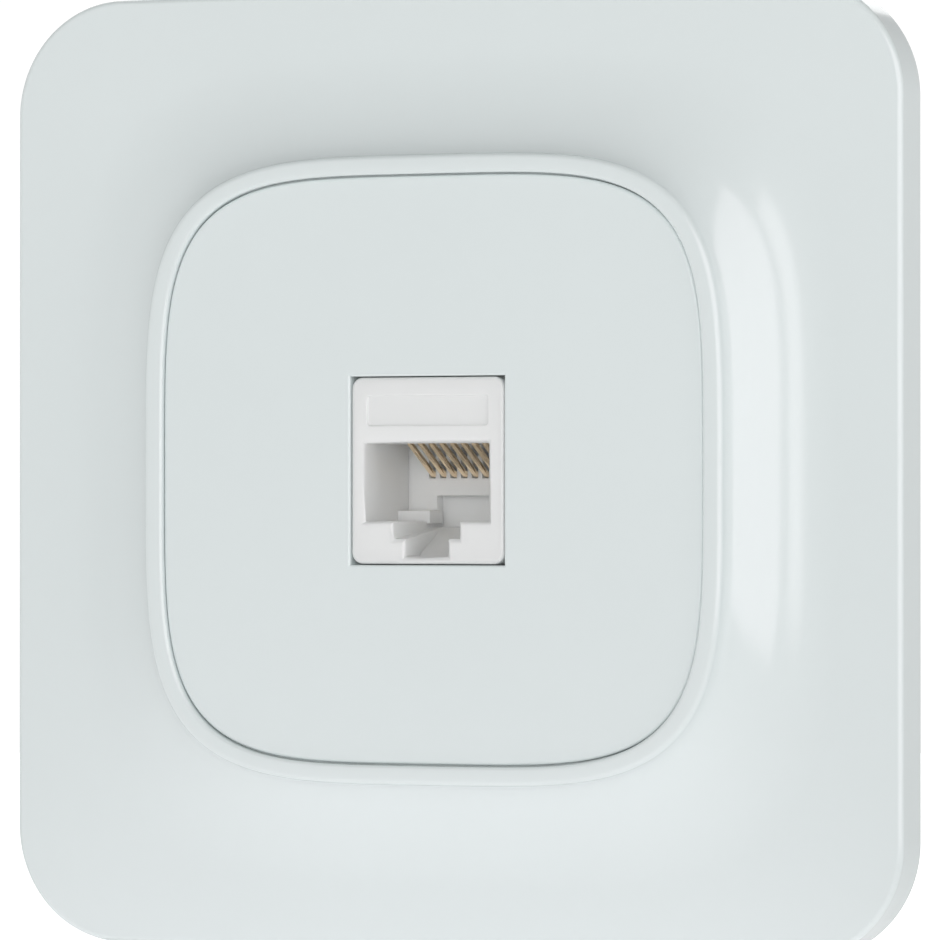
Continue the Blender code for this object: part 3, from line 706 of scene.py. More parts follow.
def add_moulding(name, bm, material, body, replaced, sharp_angle=50):
    """A piece with rounded edges, shaded so that its flat faces stay flat."""
    piece = add_piece(name, bm, material, body, replaced, sharp_angle)
    weigh = piece.modifiers.new("Even shading", "WEIGHTED_NORMAL")
    weigh.keep_sharp = True
    weigh.weight = 80


def rounded_outline(half_x, half_z, radius, center=(0.0, 0.0), steps=8):
    """Points round a rectangle with arcs at its corners."""
    points = []
    for corner, (sign_x, sign_z) in enumerate(((1, 1), (-1, 1), (-1, -1), (1, -1))):
        for step in range(steps + 1):
            angle = math.radians(90 * corner + 90 * step / steps)
            across = center[0] + sign_x * (half_x - radius) + radius * math.cos(angle)
            up = center[1] + sign_z * (half_z - radius) + radius * math.sin(angle)
            points.append((across, up))
    return points


def mirrored(side, near, far):
    """Two distances from the middle as low and high coordinates on one side."""
    return sorted((side * near, side * far))


# ---------------- cover frame

def cove_profile(rim_outer, top):
    """(half width, y) pairs from the foot of the cove up to the rim's wall."""
    points = []
    rise = top - BORDER_FRONT
    for k in range(COVE_STEPS + 1):
        t = math.pi / 2 * k / COVE_STEPS
        half = COVE_FOOT + (rim_outer - COVE_FOOT) * math.sin(t)
        points.append((half, BORDER_FRONT + rise * (1 - math.cos(t)) ** COVE_POWER))
    return points


def make_cover():
    """Glossy surround: wall, flat border, cove, rim, ledge, hollow back and four snap tabs."""
    rim_inner = PLATE_HALF + RIM_GAP
    rim_outer = rim_inner + RIM_WIDTH
    edge = fillet((0.0, BORDER_FRONT + EDGE_FILLET), (0.0, BORDER_FRONT), (-EDGE_FILLET, BORDER_FRONT))
    rings = [square_ring(FRAME_HALF, FRAME_CORNER, 0.0)]
    rings += [square_ring(FRAME_HALF + inset, FRAME_CORNER + inset, y) for inset, y in edge]
    wall_top = RIM_FRONT + RIM_FILLET
    cove = cove_profile(rim_outer, wall_top)
    for k, (half, y) in enumerate(cove):
        rings.append(squircle_ring(half, y, SQUIRCLE + (RIM_SQUIRCLE - SQUIRCLE) * k / (len(cove) - 1)))
    outer = fillet((rim_outer, wall_top), (rim_outer, RIM_FRONT), (rim_outer - RIM_FILLET, RIM_FRONT))
    inner_start = RIM_FRONT + FINE_FILLET
    inner = fillet((rim_inner + FINE_FILLET, RIM_FRONT), (rim_inner, RIM_FRONT), (rim_inner, inner_start))
    rings += [squircle_ring(half, y, RIM_SQUIRCLE) for half, y in outer[1:]]
    ledge = PLATE_FRONT + LEDGE_DEPTH
    squeeze = (PLATE_HALF + RIM_SIDE_GAP) / rim_inner
    for half, y in inner + [(rim_inner, ledge)]:
        rings.append([(x * squeeze, y_ring, z) for x, y_ring, z in squircle_ring(half, y)])
    rings += [
        squircle_ring(PLATE_HALF + LEDGE_GAP, ledge),
        squircle_ring(PLATE_HALF + LEDGE_GAP, LIP_BACK),
        squircle_ring(rim_outer + LIP_WIDTH, LIP_BACK),
        squircle_ring(rim_outer + HOLLOW_FOOT, LIP_BACK + HOLLOW_RISE),
        squircle_ring(COVE_FOOT - 2.0, BORDER_FRONT + FRAME_WALL - 0.2),
        square_ring(FRAME_HALF - FRAME_WALL, FRAME_CORNER - FRAME_WALL, BORDER_FRONT + FRAME_WALL),
        square_ring(FRAME_HALF - FRAME_WALL, FRAME_CORNER - FRAME_WALL, 0.0),
    ]
    bm = bmesh.new()
    loft_into(bm, rings, closed=True)
    near, far = RING_SIDE / 2 + SNAP_NEAR, RING_SIDE / 2 + SNAP_FAR
    front = BORDER_FRONT + FRAME_WALL - 0.4
    snaps = []
    for side in (-1, 1):
        low, high = mirrored(side, near, far)
        upright = block((low, front, -SNAP_HALF), (high, SNAP_BACK, SNAP_HALF))
        level = block((-SNAP_HALF, front, low), (SNAP_HALF, SNAP_BACK, high))
        snaps += [soften(upright, 0.3), soften(level, 0.3)]
    bm = combine(bm, adds=[gather(snaps)])
    add_moulding("cover_shell", bm, GLOSS_WHITE, "cover", ["cover_frame"])


def make_plate():
    """Centre plate: rounded edge, skirt, rectangular opening for the jack and four snap arms."""
    bm = bmesh.new()
    corner, edge_end = (PLATE_HALF, PLATE_FRONT), (PLATE_HALF, PLATE_FRONT + FINE_FILLET)
    edge = fillet((PLATE_HALF - FINE_FILLET, PLATE_FRONT), corner, edge_end)
    rings = [squircle_ring(half, y) for half, y in edge]
    rings.append(squircle_ring(PLATE_HALF, SKIRT_BACK))
    rings.append(squircle_ring(PLATE_HALF - SKIRT_WALL, SKIRT_BACK))
    rings.append(squircle_ring(PLATE_HALF - SKIRT_WALL, PLATE_FRONT + PLATE_THICK))
    half_x, half_z = JACK_HALF_X + JACK_GAP, JACK_HALF_Z + JACK_GAP
    mouth = fillet((0.0, PLATE_FRONT + MOUTH_ROUND), (0.0, PLATE_FRONT), (MOUTH_ROUND, PLATE_FRONT), 3)
    opening = [rectangle_ring(half_x + grow, half_z + grow, y) for grow, y in reversed(mouth)]
    opening.append(rectangle_ring(half_x, half_z, MOUTH_BACK))
    for y in (MOUTH_BACK, PLATE_FRONT + PLATE_THICK):
        opening.append(rectangle_ring(half_x + MOUTH_WALL, half_z + MOUTH_WALL, y))
    opening = [[Vector(point) + JACK_SHIFT for point in ring] for ring in opening]
    loft_into(bm, list(reversed(opening)) + rings, closed=True)
    arms = []
    half_thick = ARM_THICK / 2
    front = PLATE_FRONT + 1.6
    nose_back = ARM_REACH - 0.2
    nose = [
        (-0.9, ARM_Z),
        (-0.9, ARM_Z + 0.6),
        (-0.4, ARM_Z + 0.9),
        (nose_back, ARM_Z + 0.45),
        (nose_back, ARM_Z),
    ]
    for side in (-1, 1):
        middle = side * ARM_Z
        upright = block((-ARM_HALF, front, middle - half_thick), (ARM_HALF, ARM_REACH, middle + half_thick))
        bump = prism([(y, side * z) for y, z in nose], -2.0, 2.0, "x")
        arms.append(soften(combine(upright, adds=[bump]), 0.15))
        low, high = mirrored(side, ARM_X - half_thick, ARM_X + half_thick)
        arms.append(soften(block((low, front, -ARM_HALF), (high, ARM_REACH, ARM_HALF)), 0.15))
    bm = combine(bm, adds=[gather(arms)])
    add_moulding("plate_cover", bm, PLATE_WHITE, "plate", ["centre_plate"])


def rectangle_ring(half_x, half_z, y):
    """A rectangle sampled at the outlines' polar angles, with its corners kept exact."""
    ring = []
    corner = math.atan2(half_z, half_x)
    corners = [corner, math.pi - corner, math.pi + corner, 2 * math.pi - corner]
    nearest = {min(range(len(ANGLES)), key=lambda k: abs(ANGLES[k] - angle)): angle for angle in corners}
    for k, angle in enumerate(ANGLES):
        angle = nearest.get(k, angle)
        c, s = math.cos(angle), math.sin(angle)
        reach = min(half_x / max(abs(c), 1e-9), half_z / max(abs(s), 1e-9))
        ring.append((reach * c, y, reach * s))
    return ring


# ---------------- jack

def mouth_outline(grow, notch_grow):
    """The socket's stepped outline, grown by these margins."""
    right = [
        (CAVITY_HALF_X + grow, CAVITY_TOP + grow),
        (CAVITY_HALF_X + grow, CAVITY_FLOOR - notch_grow),
        (SHOULDER_HALF_X + notch_grow, CAVITY_FLOOR - notch_grow),
        (SHOULDER_HALF_X + notch_grow, SHOULDER_FLOOR - notch_grow),
        (KEYWAY_HALF_X + notch_grow, SHOULDER_FLOOR - notch_grow),
        (KEYWAY_HALF_X + notch_grow, KEYWAY_FLOOR - notch_grow),
    ]
    return right + [(-x, z) for x, z in reversed(right)]


def make_jack_housing():
    """Front shell of the jack: face, plug socket, stepped keyway, blank label field and rear collar."""
    shell = bmesh.new()
    edge = fillet((FACE_ROUND, JACK_FRONT), (0.0, JACK_FRONT), (0.0, JACK_FRONT + FACE_ROUND), 4)
    rings = []
    for inset, y in (*edge, (0.0, COLLAR_FRONT + 0.5)):
        face = rounded_outline(JACK_HALF_X - inset, JACK_HALF_Z - inset, JACK_CORNER - inset)
        rings.append([(x, y, z) for x, z in face])
    loft_into(shell, rings, caps=True)
    collar_corner = Vector((COLLAR_HALF_X, COLLAR_BACK, COLLAR_HALF_Z))
    collar = block((-COLLAR_HALF_X, COLLAR_FRONT, -COLLAR_HALF_Z), collar_corner)
    latch_slot_end = (LATCH_SLOT_HALF, COLLAR_BACK + 1, LATCH_SLOT_TOP)
    lug = block((-LUG_HALF, FLANGE_BACK + GAP, LUG_Z[0]), (LUG_HALF, COLLAR_FRONT + 0.5, LUG_Z[1]))
    front = JACK_FRONT - 2.0
    shoulder = [
        (front, 0.0),
        (front, SHOULDER_FLOOR),
        (JACK_FRONT, SHOULDER_FLOOR),
        (RAMP_BACK, RAMP_TOP),
        (NOTCH_BACK, RAMP_TOP),
        (NOTCH_BACK, 0.0),
    ]
    lip_back = JACK_FRONT + LIP_THICK
    keyway = [(front, 0.0), (front, KEYWAY_FLOOR), (lip_back, KEYWAY_FLOOR)]
    keyway += [(RAMP_BACK, RAMP_TOP), (NOTCH_BACK, RAMP_TOP), (NOTCH_BACK, 0.0)]
    undercut = [(lip_back, RAMP_TOP - 0.5), (lip_back, KEYWAY_FLOOR)]
    undercut += [(RAMP_BACK, RAMP_TOP), (RAMP_BACK, RAMP_TOP + 0.1)]
    wide = KEYWAY_HALF_X + UNDERCUT
    label_half, label_low, label_high = LABEL_FIELD
    label_middle = (0.0, (label_low + label_high) / 2)
    label = rounded_outline(label_half, (label_high - label_low) / 2, 0.3, label_middle)
    socket = block((-CAVITY_HALF_X, front, CAVITY_FLOOR), (CAVITY_HALF_X, POCKET_FRONT + 1, CAVITY_TOP))
    notches = [
        socket,
        prism(shoulder, -SHOULDER_HALF_X, SHOULDER_HALF_X, "x"),
        prism(keyway, -KEYWAY_HALF_X, KEYWAY_HALF_X, "x"),
        prism(undercut, -wide, wide, "x"),
    ]
    for notch in notches:
        bmesh.ops.translate(notch, vec=SOCKET_SHIFT, verts=notch.verts)
    bm = combine(
        shell,
        adds=[collar, lug],
        cuts=[
            *notches,
            prism(label, front, JACK_FRONT + LABEL_DEPTH, "y"),
            block(*CONTACT_WELL),
            block((-REAR_HALF_X, POCKET_FRONT, -REAR_HALF_Z), (REAR_HALF_X, COLLAR_BACK + 1, REAR_HALF_Z)),
            block((-LATCH_SLOT_HALF, COLLAR_FRONT - 1, JACK_HALF_Z), latch_slot_end),
        ],
    )
    bm = soften(bm, 0.1)
    flare = bmesh.new()
    depth = MOUTH_CHAMFER
    rings = []
    for share, y in ((2.0, JACK_FRONT - depth), (1.0, JACK_FRONT), (0.0, JACK_FRONT + depth)):
        outline = mouth_outline(MOUTH_CHAMFER * share, NOTCH_CHAMFER * share)
        rings.append([(x + SOCKET_SHIFT.x, y, z) for x, z in outline])
    loft_into(flare, rings, caps=True)
    bm = combine(bm, cuts=[flare])
    bmesh.ops.translate(bm, vec=JACK_SHIFT, verts=bm.verts)
    add_moulding("jack_shell", bm, JACK_WHITE, "jack", ["jack_housing"])


def contact_across(number):
    """How far a contact lies from the middle, numbered from the left."""
    return (number - (CONTACTS + 1) / 2) * CONTACT_PITCH


def make_contact_sled():
    """Insert that closes the back of the socket, with the plug's stops and a comb for the contacts."""
    half_x = CAVITY_HALF_X + SEAT
    low, high = CAVITY_FLOOR - SEAT, CAVITY_TOP + SEAT
    wall = block((-half_x, SLED_FRONT, low), (half_x, SLED_BACK, high))
    flange_front = (-BOARD_HALF_X, POCKET_FRONT + GAP, -BOARD_HALF_Z)
    flange = block(flange_front, (BOARD_HALF_X, SLED_FLANGE_BACK, BOARD_HALF_Z))
    recess_half, recess_back, recess_top = SLED_RECESS
    stops = []
    for side in (-1, 1):
        left, right = mirrored(side, STOP_END, half_x)
        stops.append(block((left, STOP_FRONT, low), (right, SLED_FRONT + 0.5, STOP_TOP)))
    half_slot = COMB_SLOT / 2
    comb = []
    for number in range(1, CONTACTS + 1):
        x = contact_across(number)
        comb.append(block((x - half_slot, 0.0, COMB_FLOOR), (x + half_slot, COMB_BACK, CAVITY_TOP + 1.0)))
    recess = block((-recess_half, STOP_FRONT - 1, -6.0), (recess_half, recess_back, recess_top))
    apron = block((-recess_half, SLED_FRONT + 0.5, RAMP_TOP - 0.3), (recess_half, APRON_BACK, low + 0.3))
    bm = combine(wall, adds=[flange, apron], cuts=[recess, gather(comb)])
    bm = combine(bm, adds=stops)
    bmesh.ops.translate(bm, vec=JACK_SHIFT + SOCKET_SHIFT, verts=bm.verts)
    add_moulding("contact_insert", soften(bm, 0.07), JACK_WHITE, "jack", ["contact_sled"])


def bend_path(corners, radius, steps=5):
    """A path through these corners with each inner corner rounded."""
    corners = [Vector(point) for point in corners]
    path = [corners[0]]
    for before, corner, after in zip(corners, corners[1:], corners[2:]):
        to_before, to_after = before - corner, after - corner
        trim = min(radius, 0.45 * to_before.length, 0.45 * to_after.length)
        start, end = corner + to_before.normalized() * trim, corner + to_after.normalized() * trim
        for k in range(steps + 1):
            t = k / steps
            path.append((1 - t) ** 2 * start + 2 * t * (1 - t) * corner + t**2 * end)
    return path + [corners[-1]]


def make_contact(number):
    """Flat gold-plated spring that slopes down from the socket's ceiling into the comb."""
    across = contact_across(number)
    path = bend_path([(0.0, *corner) for corner in CONTACT_PATH], CONTACT_BEND)
    section = rounded_outline(CONTACT_WIDTH / 2, CONTACT_THICK / 2, CONTACT_ROUND, steps=3)
    rings = []
    for k, point in enumerate(path):
        along = (path[min(k + 1, len(path) - 1)] - path[max(k - 1, 0)]).normalized()
        normal = Vector((0.0, -along.z, along.y))
        rings.append([(across + u, point.y + normal.y * v, point.z + normal.z * v) for u, v in section])
    bm = bmesh.new()
    loft_into(bm, rings, caps=True)
    bmesh.ops.translate(bm, vec=JACK_SHIFT, verts=bm.verts)
    name = f"contact_{number}"
    add_piece(f"spring_{number}", bm, GOLD, name, [name], 50)


def make_jack_latch():
    """Flexing arm on top of the jack, with the nose that snaps behind the carrier's flange."""
    bm = soften(prism(LATCH_PROFILE, -LATCH_HALF, LATCH_HALF, "x"), 0.12, angle=20)
    add_moulding("latch_arm", bm, JACK_WHITE, "latch", ["jack_latch"])


def terminal_levels():
    """Heights of the terminals on one side."""
    return [(k - (TERMINALS_PER_SIDE - 1) / 2) * TERMINAL_PITCH for k in range(TERMINALS_PER_SIDE)]


def make_board():
    """Circuit board with plated holes for the terminals."""
    bm = block((-BOARD_HALF_X, BOARD_FRONT, -BOARD_HALF_Z), (BOARD_HALF_X, BOARD_BACK, BOARD_HALF_Z))
    (drill_start, drill_end), (pad_front, pad_back) = DRILL, PAD_DEPTH
    holes, pads = [], []
    for side in (-1, 1):
        for z in terminal_levels():
            x = side * TERMINAL_X
            holes.append(rod((x, drill_start, z), (x, drill_end, z), HOLE_RADIUS, sides=20))
            pad = rod((x, pad_front, z), (x, pad_back, z), PAD_RADIUS, sides=28)
            bore = rod((x, drill_start, z), (x, drill_end, z), PAD_BORE, sides=20)
            pads.append(combine(pad, cuts=[bore]))
    bm = combine(bm, cuts=[gather(holes)])
    add_moulding("board_panel", soften(bm, 0.04), RESIST, "jack", ["jack_board"])
    add_piece("board_pads", gather(pads), TIN, "jack", [], 40)


def make_idc_block():
    """Terminal block: a base with two towers, slotted and flared to guide the cable's wires."""
    base_back = (COLLAR_HALF_X, BLOCK_BACK, COLLAR_HALF_Z)
    base = block((-COLLAR_HALF_X, BLOCK_FRONT, -COLLAR_HALF_Z), base_back)
    near, far = TOWER_X
    pocket_front, pocket_back = BLOCK_FRONT + 1.0, TOWER_BACK + 1.0
    towers, pockets, slots = [], [], []
    for side in (-1, 1):
        low, high = mirrored(side, near, far)
        towers.append(block((low, BLOCK_BACK - 0.4, -TOWER_HALF_Z), (high, TOWER_BACK, TOWER_HALF_Z)))
        left, right = side * TERMINAL_X - POCKET_HALF_X, side * TERMINAL_X + POCKET_HALF_X
        for level in terminal_levels():
            below, above = level - POCKET_HALF_Z, level + POCKET_HALF_Z
            pockets.append(block((left, pocket_front, below), (right, pocket_back, above)))
    for level in terminal_levels():
        flare = [
            (TOWER_BACK - WIRE_SLOT_DEPTH, level - WIRE_SLOT),
            (TOWER_BACK - 0.7, level - WIRE_SLOT),
            (TOWER_BACK + 0.5, level - WIRE_FLARE),
            (TOWER_BACK + 0.5, level + WIRE_FLARE),
            (TOWER_BACK - 0.7, level + WIRE_SLOT),
            (TOWER_BACK - WIRE_SLOT_DEPTH, level + WIRE_SLOT),
        ]
        slots.append(prism(flare, -9.0, 9.0, "x"))
    bm = combine(base, adds=[gather(towers)], cuts=[gather(pockets), gather(slots)])
    add_moulding("terminal_block", soften(bm, 0.09), CARRIER_WHITE, "jack", ["idc_block"])


def make_idc_terminal(number):
    """Forked blade that bites through a wire's insulation."""
    side = -1 if number <= TERMINALS_PER_SIDE else 1
    level = terminal_levels()[(number - 1) % TERMINALS_PER_SIDE]
    front, back = BLOCK_FRONT + 1.3, TOWER_BACK - 1.0
    half, gap = BLADE_HALF, BLADE_GAP
    outline = [
        (front, level - half),
        (back - 0.5, level - half),
        (back, level - half + 0.3),
        (back, level - BLADE_MOUTH),
        (back - 0.9, level - gap),
        (back - 4.5, level - gap),
        (back - 4.7, level),
        (back - 4.5, level + gap),
        (back - 0.9, level + gap),
        (back, level + BLADE_MOUTH),
        (back, level + half - 0.3),
        (back - 0.5, level + half),
        (front, level + half),
    ]
    x = side * TERMINAL_X
    bm = soften(prism(outline, x - BLADE_HALF_THICK, x + BLADE_HALF_THICK, "x"), 0.04)
    add_moulding(f"terminal_blade_{number}", bm, TIN, "jack", [f"idc_terminal_{number}"])


def make_dust_cap():
    """Push-on cap over the terminals, open at both ends for the cable, with a ribbed grip."""
    half_x = TOWER_X[1] + GAP
    inner_back = TOWER_BACK + GAP
    back = inner_back + CAP_WALL
    shell = block((-half_x - CAP_WALL, CAP_FRONT, -CAP_HALF_Z), (half_x + CAP_WALL, back, CAP_HALF_Z))
    shell = soften(shell, 0.35, 3)
    inside = block((-half_x, CAP_FRONT - 1.0, -9.0), (half_x, inner_back, 9.0))
    grip = block((-GRIP_HALF_X, back - 0.5, -1.0), (GRIP_HALF_X, back + GRIP_HEIGHT, 1.0))
    grip = soften(grip, 0.25, 3)
    floor, top = back + GROOVE_FLOOR, back + 2.0
    grooves = [block((x - GROOVE_HALF, floor, -1.5), (x + GROOVE_HALF, top, 1.5)) for x in GROOVES]
    grip = combine(grip, cuts=[gather(grooves)])
    bm = combine(combine(shell, cuts=[inside]), adds=[grip])
    add_moulding("cap_shell", bm, CAP_WHITE, "cap", ["dust_cap"])


# ---------------- mechanism

def make_support_ring():
    """Stamped steel ring with box-screw slots, spare holes and ears for the claws."""
    half = RING_SIDE / 2
    ring = prism(rounded_outline(half, half, RING_CORNER), -RING_THICK, 0.0, "y")
    opening = rounded_outline(RING_OPENING, RING_OPENING, RING_OPENING_CORNER)
    cuts = [prism(opening, -3.0, 3.0, "y")]
    for turn in range(4):
        angle = math.radians(90 * turn)
        center = (SLOT_RADIUS * math.cos(angle), SLOT_RADIUS * math.sin(angle))
        halves = (SLOT_LENGTH / 2, SLOT_WIDTH / 2) if turn % 2 else (SLOT_WIDTH / 2, SLOT_LENGTH / 2)
        cuts.append(prism(rounded_outline(*halves, SLOT_WIDTH / 2 - 0.01, center), -3.0, 3.0, "y"))
        diagonal = math.radians(45 + 90 * turn)
        x, z = SPARE_HOLE_AT * math.cos(diagonal), SPARE_HOLE_AT * math.sin(diagonal)
        cuts.append(rod((x, -3.0, z), (x, 3.0, z), SPARE_HOLE_RADIUS))
    adds = []
    for side in (-1, 1):
        x = side * PIVOT_X
        cuts.append(rod((side * SCREW_X, -3.0, 0.0), (side * SCREW_X, 3.0, 0.0), SCREW_HOLE_RADIUS))
        cuts.append(rod((x, PIVOT_Y, -12.0), (x, PIVOT_Y, 12.0), PIN_RADIUS + GAP))
        ear = [(x - EAR_RADIUS, -RING_THICK / 2), (x + EAR_RADIUS, -RING_THICK / 2)]
        for k in range(13):
            angle = math.pi * k / 12
            ear.append((x + EAR_RADIUS * math.cos(angle), PIVOT_Y + 0.3 + EAR_RADIUS * math.sin(angle)))
        for level in (-1, 1):
            low, high = mirrored(level, CLAW_HALF_Z + GAP, CLAW_HALF_Z + GAP + RING_THICK)
            adds.append(prism(ear, low, high, "z"))
    bm = soften(combine(ring, adds=adds, cuts=cuts), 0.12)
    add_moulding("ring_plate", bm, ZINC, "mechanism", ["support_ring"])


def make_jack_carrier():
    """Moulded carrier: a flange in front of the ring and a ribbed sleeve round the jack behind it."""
    carrier = prism(rounded_outline(CARRIER_HALF, CARRIER_HALF, 2.0), CARRIER_FRONT, FLANGE_BACK, "y")
    sleeve = prism(rounded_outline(SLEEVE_X, SLEEVE_Z, 0.8), FLANGE_BACK - 0.5, SLEEVE_BACK, "y")
    ribs = []
    for side_x in (-1, 1):
        for side_z in (-1, 1):
            left, right = mirrored(side_x, *RIB_X)
            low, high = mirrored(side_z, SLEEVE_Z - 0.3, RING_OPENING - GAP)
            ribs.append(block((left, FLANGE_BACK - 0.5, low), (right, SLEEVE_BACK - RIB_SHORT, high)))
    latch_half = LATCH_SLOT_HALF + 0.2
    bore_x, bore_z = SLEEVE_X - SLEEVE_WALL, SLEEVE_Z - SLEEVE_WALL
    half_x, half_z = JACK_HALF_X + GAP, JACK_HALF_Z + GAP
    cuts = [
        block((-bore_x, FLANGE_BACK, -bore_z), (bore_x, SLEEVE_BACK + 2.0, bore_z)),
        block((-half_x, CARRIER_FRONT - 2.0, -half_z), (half_x, FLANGE_BACK + 1.0, half_z)),
        block((-latch_half, FLANGE_BACK + GAP, bore_z - 1.0), (latch_half, 2.0, SLEEVE_Z + 1.0)),
    ]
    long_half, front, back = ARM_HALF + 0.5, CARRIER_FRONT - 2.0, FLANGE_BACK + 1.0
    windows = []
    for side in (-1, 1):
        low, high = mirrored(side, ARM_Z + 0.2 - ARM_THICK, ARM_Z + 0.2 + ARM_THICK)
        windows.append(block((-long_half, front, low), (long_half, back, high)))
        low, high = mirrored(side, ARM_X - 1.1, ARM_X + 1.1)
        windows.append(block((low, front, -long_half), (high, back, long_half)))
    bm = soften(combine(carrier, adds=[sleeve, gather(ribs)], cuts=[*cuts, gather(windows)]), 0.15)
    add_moulding("carrier_frame", bm, CARRIER_WHITE, "mechanism", ["jack_carrier"])


def make_claw(side, name):
    """Bent steel claw, slotted for its screw, rolled round its pin and toothed at its end."""
    inner = PIVOT_X - CLAW_STEEL / 2
    outer_bend = [
        (inner + CLAW_BEND * (1 - math.sin(t)), CLAW_BACK - CLAW_BEND * (1 - math.cos(t)))
        for t in (math.pi / 2 * k / 6 for k in range(7))
    ]
    profile = [
        (inner, PIVOT_Y - 0.5),
        (inner + CLAW_STEEL, PIVOT_Y - 0.5),
        (inner + CLAW_STEEL, CLAW_BACK - CLAW_STEEL),
        (CLAW_TIP, CLAW_BACK - CLAW_STEEL),
        (CLAW_TIP, CLAW_BACK - 0.4),
        (CLAW_TIP - 0.4, CLAW_BACK),
        *outer_bend,
    ]
    claw = prism([(side * x, y) for x, y in profile], -CLAW_HALF_Z, CLAW_HALF_Z, "z")
    x = side * PIVOT_X
    knuckle = rod((x, PIVOT_Y, -CLAW_HALF_Z), (x, PIVOT_Y, CLAW_HALF_Z), PIN_RADIUS + KNUCKLE_WALL)
    low, high = mirrored(side, inner - 2.0, CLAW_TIP - 1.3)
    teeth = []
    for level in TOOTH_LEVELS:
        notch = [
            (side * (CLAW_TIP - 1.1), level),
            (side * (CLAW_TIP + 0.3), level - TOOTH_HALF),
            (side * (CLAW_TIP + 0.3), level + TOOTH_HALF),
        ]
        teeth.append(prism(notch, CLAW_BACK - 3.0, CLAW_BACK + 1.0, "y"))
    bm = combine(
        claw,
        adds=[knuckle],
        cuts=[
            block((low, PIVOT_Y + 2.6, -CLAW_SLOT_HALF), (high, CLAW_BACK + 2.0, CLAW_SLOT_HALF)),
            rod((x, PIVOT_Y, -9.0), (x, PIVOT_Y, 9.0), PIN_RADIUS + GAP),
            gather(teeth),
        ],
    )
    body = "claw_" + name
    add_moulding("claw_arm_" + name, soften(bm, 0.08), ZINC, body, [body])


def make_claw_pin(side, name):
    """Pin with two rounded heads through the ring's ears and the claw's knuckle."""
    reach = CLAW_HALF_Z + GAP + RING_THICK + GAP
    profile = [(0.0, reach + 0.7), (0.7, reach + 0.66), (1.2, reach + 0.5), (1.5, reach + 0.28), (1.6, reach)]
    profile.append((PIN_RADIUS, reach))
    profile += [(radius, -height) for radius, height in reversed(profile)]
    bm = revolve(profile, Vector((side * PIVOT_X, PIVOT_Y, 0.0)), "z", 40)
    node = "claw_pin_" + name
    add_piece("pin_" + name, bm, ZINC, "mechanism", [node], 40)


def revolve(profile, center, axis, sides):
    """Turn (radius, height) pairs that start and end on the axis about a Z or Y axis."""
    bm = bmesh.new()
    rows = []
    for radius, height in profile[1:-1]:
        row = []
        for k in range(sides):
            angle = 2 * math.pi * k / sides
            u, v = radius * math.cos(angle), radius * math.sin(angle)
            row.append(bm.verts.new(center + Vector((u, v, height) if axis == "z" else (u, height, v))))
        rows.append(row)
    for first, second in zip(rows, rows[1:]):
        for k in range(sides):
            after = (k + 1) % sides
            bm.faces.new((first[k], first[after], second[after], second[k]))
    for row, (radius, height) in ((rows[0], profile[0]), (rows[-1], profile[-1])):
        tip = bm.verts.new(center + Vector((0.0, 0.0, height) if axis == "z" else (0.0, height, 0.0)))
        for k in range(sides):
            bm.faces.new((row[k], row[(k + 1) % sides], tip))
    return bm


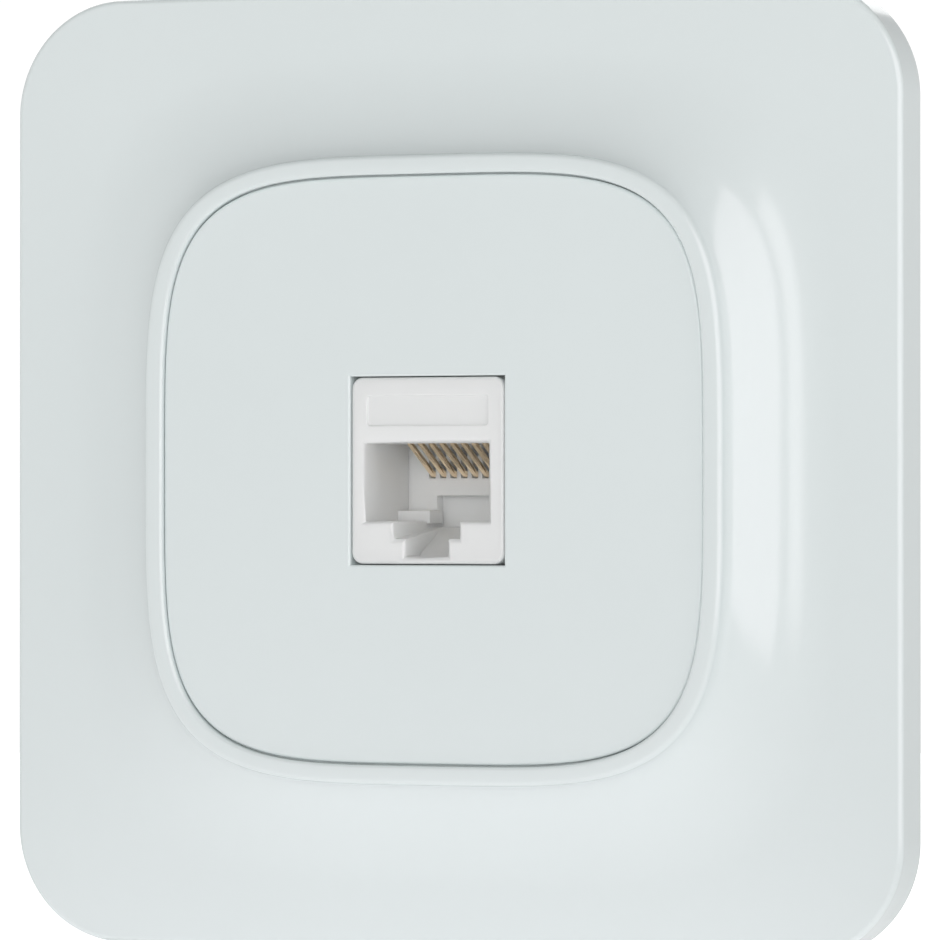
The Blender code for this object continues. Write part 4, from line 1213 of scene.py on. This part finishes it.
def make_claw_screw(side, name):
    """Screw with a slotted, rounded head and a rolled thread."""
    head_back = -(RING_THICK + GAP)
    head_front = head_back - HEAD_THICK
    profile = [(0.0, head_front), (1.6, head_front + 0.05), (2.5, head_front + 0.25), (3.0, head_front + 0.6)]
    profile += [(3.2, head_front + 1.1), (3.2, head_back - 0.1), (3.1, head_back), (SCREW_RADIUS, head_back)]
    thread_start, thread_end = 0.6, SCREW_BACK - 0.8
    thread_length = thread_end - thread_start
    rows = int(thread_length / THREAD_PITCH * THREAD_ROWS_PER_TURN)
    profile += [(SCREW_RADIUS, thread_start + thread_length * k / rows) for k in range(rows + 1)]
    profile += [(0.8, SCREW_BACK - 0.05), (0.6, SCREW_BACK), (0.0, SCREW_BACK)]
    center = Vector((side * SCREW_X, 0.0, 0.0))
    bm = revolve(profile, center, "y", THREAD_SIDES)
    for vert in bm.verts:
        offset = vert.co - center
        reach = math.hypot(offset.x, offset.z)
        if thread_start <= offset.y <= thread_end and reach > 1.0:
            turn = math.atan2(offset.z, offset.x) / (2 * math.pi)
            wave = abs(((offset.y / THREAD_PITCH - turn) % 1.0) * 2 - 1)
            ends = min(1.0, (offset.y - thread_start) / 0.5, (thread_end - offset.y) / 0.5)
            radius = SCREW_RADIUS - THREAD_DEPTH * wave * max(ends, 0.0)
            vert.co.x = center.x + offset.x / reach * radius
            vert.co.z = offset.z / reach * radius
    left, right = side * SCREW_X - HEAD_SLOT_HALF, side * SCREW_X + HEAD_SLOT_HALF
    slot = block((left, head_front - 1.0, -4.0), (right, head_front + 1.0, 4.0))
    bm = combine(bm, cuts=[slot])
    body = "screw_" + name
    add_piece("screw_shaft_" + name, bm, ZINC, body, ["claw_screw_" + name], 35)


def make_claw_nut(side, name):
    """Square nut with a countersunk bore that draws the claw forward along the screw."""
    front, back = CLAW_BACK + NUT_FRONT, CLAW_BACK + NUT_BACK
    x = side * SCREW_X
    bm = soften(block((x - NUT_HALF, front, -NUT_HALF), (x + NUT_HALF, back, NUT_HALF)), 0.3, 3)
    bore = rod((x, front - 1, 0.0), (x, back + 1, 0.0), SCREW_RADIUS + GAP)
    sinks = []
    for face, inward in ((front, 1), (back, -1)):
        start, end = (x, face - inward * 0.1, 0.0), (x, face + inward * 0.4, 0.0)
        sinks.append(rod(start, end, NUT_SINK_RADIUS, NUT_SINK_FLOOR))
    bm = combine(bm, cuts=[bore, *sinks])
    body = "nut_" + name
    add_piece("square_nut_" + name, bm, ZINC, body, ["claw_nut_" + name], 35)


make_cover()
make_plate()
make_jack_housing()
make_contact_sled()
for contact_number in range(1, CONTACTS + 1):
    make_contact(contact_number)
make_jack_latch()
make_board()
make_idc_block()
for terminal_number in range(1, 2 * TERMINALS_PER_SIDE + 1):
    make_idc_terminal(terminal_number)
make_dust_cap()
make_support_ring()
make_jack_carrier()
for claw_side, claw_name in ((-1, "left"), (1, "right")):
    make_claw(claw_side, claw_name)
    make_claw_pin(claw_side, claw_name)
    make_claw_screw(claw_side, claw_name)
    make_claw_nut(claw_side, claw_name)
